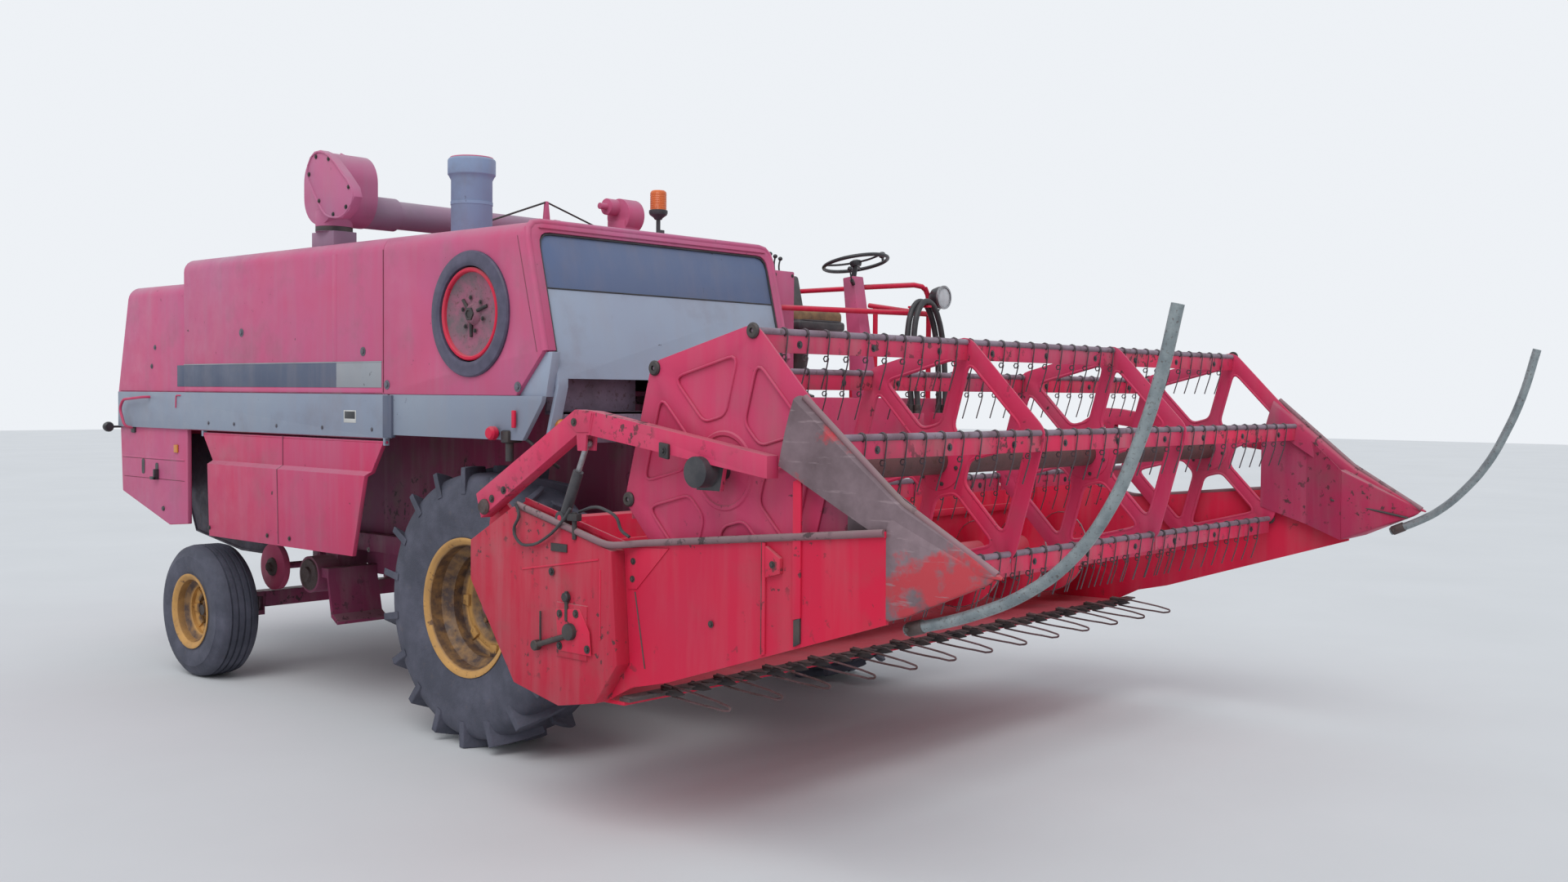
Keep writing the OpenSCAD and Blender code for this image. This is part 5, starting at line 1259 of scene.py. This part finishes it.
def make_cutter_bar():
    """Knife between pointed guards on a worn bar, with a sprung wire lifter on every second guard."""
    y, z = KNIFE
    w = HEADER_IN
    beam = block((-w, y, z - 0.018), (w, y + 0.060, z - 0.002), 0.003)
    strip = block((-w, y - 0.020, z - 0.002), (w, y + 0.040, z + 0.006), 0.001)
    guard = hull_of([(-0.013, y + 0.03, z - 0.020), (0.013, y + 0.03, z - 0.020),
                     (-0.013, y + 0.03, z + 0.010), (0.013, y + 0.03, z + 0.010),
                     (-0.011, y - 0.05, z + 0.016), (0.011, y - 0.05, z + 0.016),
                     (-0.009, y - 0.06, z - 0.014), (0.009, y - 0.06, z - 0.014),
                     (0, y - 0.105, z - 0.002)], 0.002)
    tooth = plate([(-0.034, y + 0.004, z + 0.007), (0.034, y + 0.004, z + 0.007),
                   (0.008, y - 0.056, z + 0.007), (-0.008, y - 0.056, z + 0.007)], (0, 0, 0.004))
    bolts = bolt_heads([(k * GUARD_PITCH + 0.02, y + 0.03, z + 0.006) for k in GUARD_STEPS], UP, 0.008, 0.007)
    wire = pipe([(0, y + 0.02, z + 0.024), (0, y - 0.10, z + 0.016), (0, y - 0.335, z - 0.012),
                 (0, y - 0.352, z - 0.020), (0.004, y - 0.338, z - 0.031), (0.008, y - 0.25, z - 0.033),
                 (0.008, y - 0.12, z - 0.028), (0.006, y - 0.02, z - 0.020)], 0.0048, 6, "AUTO", 3)
    shoe = block((-0.014, y - 0.03, z + 0.010), (0.014, y + 0.03, z + 0.022), 0.003)
    guards = along_bar(guard, GUARD_STEPS)
    knife = along_bar(tooth, TOOTH_STEPS, GUARD_PITCH / 2)
    lifters = along_bar(wire, GUARD_STEPS[::2])
    shoes = along_bar(shoe, GUARD_STEPS[::2])
    parts = [painted(join([beam, strip, shoes]), RUSTY), painted(join([guards, knife, bolts]), DARK_STEEL),
             painted(lifters, LIFTER_STEEL)]
    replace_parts(fit(join(parts), "knife_and_lifters", "header", None), "cutter_bar")


def make_auger():
    """Tube with left and right hand flights, and sprung fingers in the middle."""
    half = HEADER_IN - 0.008
    y, z = AUGER_AT
    profile = [(0, -half), (AUGER_TUBE_R, -half), (AUGER_TUBE_R, half), (0, half)]
    drum = round_edges(lathe(profile, (0, y, z), OUT_LEFT, 40), 0.004)
    shaft = bar((-HEADER_X + 0.002, y, z), (HEADER_X - 0.002, y, z), 0.03, 24)
    reach = half - FLIGHT_GAP

    def helix(along, radius, shift):
        turn = 2 * math.pi * along * reach / FLIGHT_PITCH
        return (-half + shift + along * reach, y + radius * math.cos(turn), z + radius * math.sin(turn))

    flight = ribbon(128, lambda along, across, up: helix(
        along, FLIGHT_R if across > 0 else AUGER_TUBE_R - 0.002, 0.02 + up * 0.006))
    rim = pipe([helix(k / 96, FLIGHT_R - 0.001, 0.023) for k in range(97)], 0.004, 6, "AUTO", 1)
    flights = both_sides(join([painted(flight, HEADER_RED), painted(rim, BRIGHT_STEEL)]))
    fingers = []
    for k in range(-3, 4):
        turn = math.radians(-k * 103)
        foot = Vector((k * 0.11, y, z))
        way = Vector((0, math.sin(turn), math.cos(turn)))
        fingers.append(bar(foot + way * 0.1, foot + way * 0.222, 0.008, 12, 0.004))
        fingers.append(lathe([(0, 0.112), (0.022, 0.112), (0.020, 0.128), (0, 0.130)], foot, way, 16))
    parts = [painted(drum, HEADER_RED), flights, painted(join([shaft, *fingers]), DARK_STEEL)]
    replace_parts(fit(join(parts), "feed_auger", "auger", None, 40), "header_auger")


NOSE_TOP = Vector((2.022, -2.705, 1.772))
NOSE_KNEE = Vector((2.010, -3.150, 1.425))
NOSE_TIP = Vector((1.985, -3.536, 1.222))
KNEE_SHARE = 0.55


def nose_roof(along, across):
    """The rounded cap of a nose: along it from top to tip, and across it from inner to outer edge."""
    if along < KNEE_SHARE:
        ridge = NOSE_TOP.lerp(NOSE_KNEE, along / KNEE_SHARE)
    else:
        ridge = NOSE_KNEE.lerp(NOSE_TIP, (along - KNEE_SHARE) / (1 - KNEE_SHARE))
    shrink = (1 - along) ** 0.8
    angle = math.radians(205 - 230 * across)
    bulge = Vector((0.045 * math.sin(angle - math.pi / 2), 0, 0.030 * math.cos(angle - math.pi / 2)))
    spot = ridge + bulge * (0.12 + 0.88 * shrink)
    if across < 0.25:
        spot += Vector((0.010, 0.055, -0.205)) * shrink * (0.25 - across) / 0.25
    if across > 0.8:
        spot += Vector((-0.02, 0.03, -0.10)) * shrink * (across - 0.8) / 0.2
    return spot


def divider_nose(side):
    """Folded sheet nose: a rounded ridge open at its rear end, over a wedge that closes the end sheet."""
    cap = shaped(14, 16, nose_roof, 0.005)
    wedge = hull_of([(2.052, -3.112, 1.352), (2.050, -3.112, 1.046), (2.054, -3.165, 1.340),
                     (2.054, -3.218, 1.078), (1.988, -3.537, 1.221), (1.992, -3.500, 1.240),
                     (1.90, -3.112, 1.43), (1.93, -3.112, 1.048), (2.03, -3.112, 1.43)], 0.010)
    x0, x1 = 1.986, 1.990
    inner = plate_x([(-2.64, 1.56), (-2.70, 1.74), (-2.90, 1.60), (-2.90, 1.118), (-2.64, 1.20)], x0, x1)
    bend = hull_of([(x0, -2.90, 1.60), (x1, -2.90, 1.60), (x0, -2.90, 1.118), (x1, -2.90, 1.118),
                    (1.896, -3.125, 1.425), (1.900, -3.125, 1.425), (1.926, -3.115, 1.048),
                    (1.930, -3.115, 1.048)])
    ridge = pipe([NOSE_TOP + Vector((0, -0.02, 0.026)), NOSE_KNEE + Vector((0, 0, 0.022)),
                  NOSE_TIP + Vector((0, 0.02, 0.012))], 0.013, 10, "VECTOR", 1)
    strut = bar((1.924, -3.06, 1.262), (1.966, -3.454, 1.186), 0.006, 8)
    rim = pipe([(2.035, -2.668, 1.585), (2.052, -2.675, 1.68), (2.048, -2.700, 1.765),
                (2.020, -2.708, 1.798), (1.985, -2.705, 1.770), (1.972, -2.690, 1.68)], 0.005, 6)
    skin = NOSE_RUST if side == RIGHT else NOSE_RED
    nose = join([painted(join([cap, wedge, bend]), skin), painted(inner, NOSE_RED),
                 painted(join([rim, ridge]), RAIL_WORN), painted(strut, DARK_STEEL)])
    return on_side(nose, side)


def make_dividers():
    noses = join([divider_nose(RIGHT), divider_nose(LEFT)])
    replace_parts(fit(noses, "divider_noses", "header", None, 40), "dividers")
    paths = {RIGHT: [(-3.160, 1.0185), (-3.420, 1.095), (-3.640, 1.195), (-3.790, 1.310), (-3.915, 1.470),
                     (-4.005, 1.660), (-4.080, 1.880), (-4.128, 2.080)],
             LEFT: [(-3.360, 1.108), (-3.500, 1.172), (-3.600, 1.232), (-3.720, 1.342), (-3.830, 1.482),
                    (-3.915, 1.645), (-3.985, 1.820), (-4.050, 2.060)]}
    tubes = []
    for side, path in paths.items():
        x = side * 1.99
        foot = Vector((x, *path[0]))
        way = (Vector((x, *path[1])) - foot).normalized()
        rod = pipe([(x, *place) for place in path], 0.0200, 16, "AUTO", 5)
        sleeve = bar(foot + way * 0.008, foot + way * 0.075, 0.0245, 16, 0.003)
        cross = bar(foot + Vector((-0.035, -0.02, 0.006)), foot + Vector((0.035, -0.02, 0.006)), 0.008, 10)
        tubes += [painted(rod, GALVANISED), painted(sleeve, RUSTY), painted(cross, DARK_STEEL)]
    rods = fit(join(tubes), "divider_tubes", "header", None, 50)
    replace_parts(rods, "divider_rods")


END_RAILS = {
    RIGHT: [(-2.118, -1.225, 1.340), (-2.118, -1.800, 1.208), (-2.056, -1.900, 1.222),
            (-2.056, -3.112, 1.346)],
    LEFT: [(2.056, -0.960, 1.215), (2.056, -1.205, 1.352), (2.056, -1.835, 1.212), (2.056, -3.112, 1.346)],
}


def make_end_fittings(side, name):
    """Rail, strips and brackets on the outside of a header end."""
    x = side * HEADER_X
    out = side * 0.005
    rail = tube(END_RAILS[side], 0.014, 0.05)
    red = [plate_x([(-1.835, 1.200), (-2.071, 1.215), (-1.892, 1.043), (-1.840, 1.037)], x, x + out, 0.001),
           plate_x([(-2.575, 1.275), (-2.553, 1.277), (-2.553, 0.862), (-2.575, 0.872)],
                   x, x + 2 * out, 0.002),
           plate_x([(-2.706, 1.500), (-2.744, 1.515), (-2.744, 1.02), (-2.706, 1.01)],
                   x, x + 2 * out, 0.002),
           plate_x([(-2.584, 1.265), (-2.655, 1.225), (-2.655, 1.17), (-2.584, 1.150)],
                   x, x + 4 * out, 0.003)]
    foot = plate_x([(-2.712, 1.01), (-2.742, 1.02), (-2.742, 0.93), (-2.712, 0.915)], x, x + 2 * out, 0.002)
    bolts = bolt_heads([(x + out, -1.872, 1.150), (x + out, -1.868, 1.080), (x + 4 * out, -2.62, 1.20),
                        (x + out, -2.30, 0.95)], (side, 0, 0), 0.008, 0.007)
    seams = [plate_x([(-1.876, 1.03), (-1.882, 1.03), (-1.940, 0.735), (-1.934, 0.735)],
                     x, x + side * 0.002),
             plate_x([(-2.56, 1.28), (-2.557, 1.28), (-2.557, 0.87), (-2.56, 0.87)], x, x + 2.2 * out)]
    parts = [painted(rail, RAIL_WORN), painted(join(red), HEADER_RED),
             painted(join([foot, bolts]), DARK_STEEL), painted(join(seams), RUSTY)]
    fit(join(parts), "end_fittings_" + name, "header", None)


def make_drive_box():
    """The cover over the header's drive: pressed creases, bearing plate, clutch lever and its hoses."""
    box = dressed("header_drive_box", 0.012, BOX_RED)
    paint_where(box, DARK_STEEL, lambda spot: spot.x < -2.129)
    x = -2.120
    crease = [plate_x([(-1.263, 1.070), (-1.263, 1.078), (-1.742, 1.155), (-1.742, 1.147)],
                      x - 0.003, x, 0.001),
              plate_x([(-1.750, 1.112), (-1.757, 1.112), (-1.757, 0.833), (-1.750, 0.833)],
                      x - 0.003, x, 0.001),
              plate_x([(-1.493, 0.932), (-1.640, 0.945), (-1.700, 0.860), (-1.712, 0.765), (-1.510, 0.765)],
                      x - 0.013, x - 0.007, 0.003)]
    dark = [block((x - 0.006, -1.553, 1.164), (x, -1.453, 1.197), 0.002),
            bar((x - 0.016, -1.358, 0.766), (x - 0.016, -1.560, 0.828), 0.012, 12),
            bar((x, -1.372, 0.770), (x - 0.030, -1.372, 0.770), 0.022, 20, 0.004),
            bar((x - 0.008, -1.391, 0.913), (x - 0.008, -1.391, 0.780), 0.004, 8),
            bar((x - 0.012, -1.561, 1.010), (x - 0.012, -1.561, 0.890), 0.008, 10),
            bar((x, -1.556, 0.985), (x - 0.022, -1.556, 0.985), 0.020, 16, 0.004),
            bolt_heads([(x - 0.013, -1.52, 0.785), (x - 0.013, -1.69, 0.79), (x - 0.013, -1.52, 0.915),
                        (x - 0.013, -1.62, 0.925), (x - 0.006, -1.46, 1.08), (x - 0.003, -1.545, 0.79)],
                       OUT_RIGHT, 0.010, 0.009)]
    rear_hose = [(-1.240, 1.345), (-1.262, 1.300), (-1.229, 1.235), (-1.262, 1.188), (-1.323, 1.178),
                 (-1.438, 1.217), (-1.548, 1.297), (-1.590, 1.345)]
    front_hose = [(-1.600, 1.330), (-1.700, 1.355), (-1.765, 1.345), (-1.826, 1.318), (-1.850, 1.275),
                  (-1.898, 1.250)]
    hoses = [pipe([(-2.138, *place) for place in rear_hose], 0.0065, 8),
             pipe([(-2.100, *place) for place in front_hose], 0.0065, 8)]
    clamp = [block((x - 0.020, -1.63, 1.295), (x + 0.01, -1.57, 1.325), 0.004),
             bar((x - 0.004, -1.60, 1.33), (x - 0.004, -1.60, 1.22), 0.010, 10)]
    parts = [painted(join(crease), HEADER_RED), painted(join(dark + clamp), DARK_STEEL),
             painted(join(hoses), HOSE_BLACK)]
    fit(join(parts), "drive_box_fittings", "header", None)


def make_header():
    dressed("header_back", 0.003, HEADER_RED)
    dressed("feeder_house", 0.004, FRAME_RED)
    ribs = repeated(block((-0.02, -1.150, 0.70), (0.02, -1.142, 1.24), 0.003),
                    [(x, -0.004, 0) for x in (-1.7, -1.3, -0.9, 0.9, 1.3, 1.7)])
    stripper = block((-1.9, -1.168, 1.11), (1.9, -1.150, 1.15), 0.003)
    fit(join([ribs, stripper]), "header_ribs", "header", HEADER_RED)
    for side, name in ((RIGHT, "right"), (LEFT, "left")):
        dressed("header_end_" + name, 0.003, HEADER_RED)
        make_end_fittings(side, name)
    make_drive_box()
    make_dividers()
    make_cutter_bar()
    make_auger()
    for cylinders in ("lift", "reel"):
        dressed(cylinders + "_barrels", 0.002, BLACK_PAINT)
        dressed(cylinders + "_rods", 0.002, BRIGHT_STEEL)


# Reel

REEL_AT = Vector((0, -2.31, 1.52))
REEL_R = 0.54
BATS = 6
BAT_STEP = 360 / BATS
FIRST_BAT = 45.6
TINE_PITCH = 0.122
DISC_X = 1.99
SPIDER_X = 0.64
SHEET = 0.010
BEARING_R = 0.066


def reel_spot(radius, degrees, across=0.0):
    """A [y, z] place at this angle about the reel's shaft, moved sideways by across."""
    a = math.radians(degrees)
    return (REEL_AT.y + radius * math.cos(a) - across * math.sin(a),
            REEL_AT.z + radius * math.sin(a) + across * math.cos(a))


def reel_sheet(x0, x1, margin, rim, hub):
    """Hexagon sheet and its six rounded triangles: margin is half a spoke, rim and hub are distances out."""
    corners = [reel_spot(REEL_R + 0.030, FIRST_BAT + BAT_STEP * k) for k in range(BATS)]
    sheet = plate_x(rounded_outline(corners, 0.05), x0, x1)
    half_step = math.radians(BAT_STEP / 2)
    lean = math.tan(half_step)
    trim = margin / math.cos(half_step)
    holes = []
    for k in range(BATS):
        middle = FIRST_BAT + BAT_STEP / 2 + BAT_STEP * k
        wide, narrow = rim * lean - trim, hub * lean - trim
        corners = [reel_spot(rim, middle, wide), reel_spot(rim, middle, -wide),
                   reel_spot(hub, middle, -narrow), reel_spot(hub, middle, narrow)]
        holes.append(rounded_outline(corners, [0.055, 0.055, 0.035, 0.035]))
    return sheet, holes


def spider(x):
    """A pressed sheet with six openings whose edges are rolled."""
    sheet, holes = reel_sheet(x, x + SHEET, 0.030, 0.418, 0.155)
    cut(sheet, join([plate_x(hole, x - 0.02, x + 0.03) for hole in holes]))
    rolls = [pipe([(x + SHEET / 2, *spot) for spot in hole], 0.0085, 8, "VECTOR", 1, True) for hole in holes]
    hub = lathe([(0.06, -0.012), (0.075, -0.012), (0.13, -0.004), (0.13, 0.014), (0.075, 0.022),
                 (0.06, 0.022)], REEL_AT + Vector((x, 0, 0)), OUT_LEFT, 40)
    bolts = bolt_heads([(x - 0.003, *reel_spot(0.105, FIRST_BAT + BAT_STEP / 2 + BAT_STEP * k))
                        for k in range(BATS)], OUT_RIGHT, 0.010)
    red = join([round_edges(sheet, 0.002), *rolls, hub])
    return [painted(red, REEL_RED), painted(bolts, DARK_STEEL)]


def end_disc():
    """The closed sheet on the right: pressed rounded triangles round a stamped ring."""
    outer = -DISC_X - SHEET
    sheet, pockets = reel_sheet(outer, -DISC_X, 0.050, 0.405, 0.20)
    cut(sheet, join([plate_x(pocket, outer - 0.02, outer + 0.006) for pocket in pockets]))
    round_edges(sheet, 0.004, 2, 40)
    beads = [pipe([(outer - 0.001, *spot) for spot in pocket], 0.0055, 8, "VECTOR", 1, True)
             for pocket in pockets]
    ring = lathe([(0.128, 0.0), (0.134, 0.006), (0.146, 0.006), (0.152, 0.0)],
                 REEL_AT + Vector((outer, 0, 0)), OUT_RIGHT, 48)
    return [painted(join([sheet, *beads, ring]), REEL_RED)]


def make_reel():
    parts = end_disc()
    for x in (-SPIDER_X, SPIDER_X, DISC_X):
        parts += spider(x)
    bore, shaft_r = 0.0345, 0.062
    shaft = lathe([(bore, -DISC_X), (shaft_r, -DISC_X), (shaft_r, DISC_X), (bore, DISC_X)],
                  REEL_AT, OUT_LEFT, 32)
    parts.append(painted(shaft, SHAFT_RUST))
    caps = []
    for k in range(BATS):
        y, z = reel_spot(REEL_R, FIRST_BAT + BAT_STEP * k)
        for side in (RIGHT, LEFT):
            caps.append(lathe([(0.010, 0.0), (0.030, 0.0), (0.030, 0.006), (0.024, 0.012), (0.010, 0.013)],
                              (side * (DISC_X + SHEET), y, z), (side, 0, 0), 20))
    parts.append(painted(join(caps), DARK_STEEL))
    reel = fit(join(parts), "reel_spiders", "reel", None)
    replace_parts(reel, "reel")
    arms = dressed("reel_arms", 0.004, ARM_RED)
    paint_where(arms, BLACK_PAINT, lambda spot: near_reel_bearing(spot - SHIFT))
    make_arm_fittings()


def near_reel_bearing(spot):
    return math.hypot(spot.y - REEL_AT.y, spot.z - REEL_AT.z) < BEARING_R


def make_arm_fittings():
    """Bolted knee plates, lubricator and bearing caps on the two arms."""
    parts = []
    for side in (RIGHT, LEFT):
        x = side * 2.124
        out = side * 0.005
        knee = plate_x([(-1.555, 1.690), (-1.625, 1.735), (-1.705, 1.728), (-1.690, 1.652), (-1.612, 1.650)],
                       x, x + out, 0.002)
        weld = tube([(x, -1.690, 1.642), (x, -1.712, 1.728)], 0.005, 0.01, 8)
        clamp = plate_x([(-2.100, 1.625), (-2.150, 1.618), (-2.150, 1.560), (-2.100, 1.568)],
                        x, x + 3 * out, 0.004)
        bolts = bolt_heads([(x + out, -1.600, 1.690), (x + 3 * out, -2.125, 1.592), (x, -1.06, 1.355),
                            (x, -1.14, 1.395)], (side, 0, 0), 0.010)
        pivot = lathe([(0, 0), (0.034, 0), (0.034, 0.006), (0.026, 0.016), (0, 0.018)],
                      (x, -1.010, 1.318), (side, 0, 0), 24)
        parts += [painted(join([knee, weld]), ARM_RED), painted(join([clamp, bolts]), DARK_STEEL),
                  painted(pivot, RUSTY)]
    fit(join(parts), "reel_arm_fittings", "reel_arms", None)


def tine():
    """A sprung wire: wound on the tube, down the slat, curled under it, then a long finger."""
    winding_r, curl_r, wire_r = 0.0170, 0.0115, 0.0030
    path = []
    for k in range(13):
        turn = k * math.pi / 4
        path.append((-0.010 + 0.0065 * k / 8, winding_r * math.cos(turn), winding_r * math.sin(turn)))
    path += [(0, -0.0165, -0.020), (0, -0.0125, -0.050), (0, -0.0095, -0.076)]
    for k in range(7):
        turn = k * math.pi / 3
        path.append((0.0007 * k, 0.004 - curl_r * math.cos(turn), -0.094 - curl_r * math.sin(turn)))
    path += [(0.005, 0.001, -0.125), (0.005, 0.0295, -0.212)]
    return pipe(path, wire_r, 6, "VECTOR", 1)


def make_bats():
    """Six tubes with a slat and a row of tines, all alike, since each one hangs level."""
    gap = 0.004
    spans = [(-DISC_X + gap, -SPIDER_X - gap), (-SPIDER_X + SHEET + gap, SPIDER_X - gap),
             (SPIDER_X + SHEET + gap, DISC_X - gap)]
    tubes, slats = [], []
    for x0, x1 in spans:
        tubes.append(bar((x0, 0, 0), (x1, 0, 0), 0.0135, 14, 0.002))
        slats.append(plate_x([(0.010, -0.002), (-0.006, -0.012), (-0.006, -0.078), (0.001, -0.078),
                              (0.001, -0.018), (0.022, -0.008)], x0, x1, 0.0015))
    pin = bar((-DISC_X - 0.016, 0, 0), (DISC_X + 0.016, 0, 0), 0.009, 12)
    tines_at = [k * TINE_PITCH for k in range(-15, 16)]
    clear = [x for x in tines_at if abs(abs(x) - SPIDER_X - SHEET / 2) > 0.02]
    wires = repeated(tine(), [(x, 0, 0) for x in clear])
    bolts = bolt_heads([(x, -0.006, -0.045) for x in (-1.75, -1.3, -0.85, -0.45, 0, 0.45, 0.85, 1.3, 1.75)],
                       AHEAD, 0.009, 0.007)
    model = join([painted(join(tubes + [pin]), BAT_TUBE), painted(join(slats), BAT_RED),
                  painted(wires, TINE_STEEL), painted(bolts, BLACK_PAINT)])
    for k in range(BATS):
        place = Vector((0, *reel_spot(REEL_R, FIRST_BAT + BAT_STEP * k)))
        name = "bat_%d" % (k + 1)
        bat = fit(copy_of(model, Matrix.Translation(place)), name + "_tined", name, None)
        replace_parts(bat, name)
    bpy.data.objects.remove(model)


make_camera()
make_stage()
make_wheels()
make_shells()
make_side_strip()
make_seams()
make_hood_face()
make_front_recess()
make_tank_cap()
make_air_screen()
make_stack()
make_lamps()
make_steering()
make_console()
make_seat()
make_hoses()
make_tank_top()
make_unloader()
make_walker_sides()
make_side_fittings()
make_shield_fittings()
make_header()
make_reel()
make_bats()
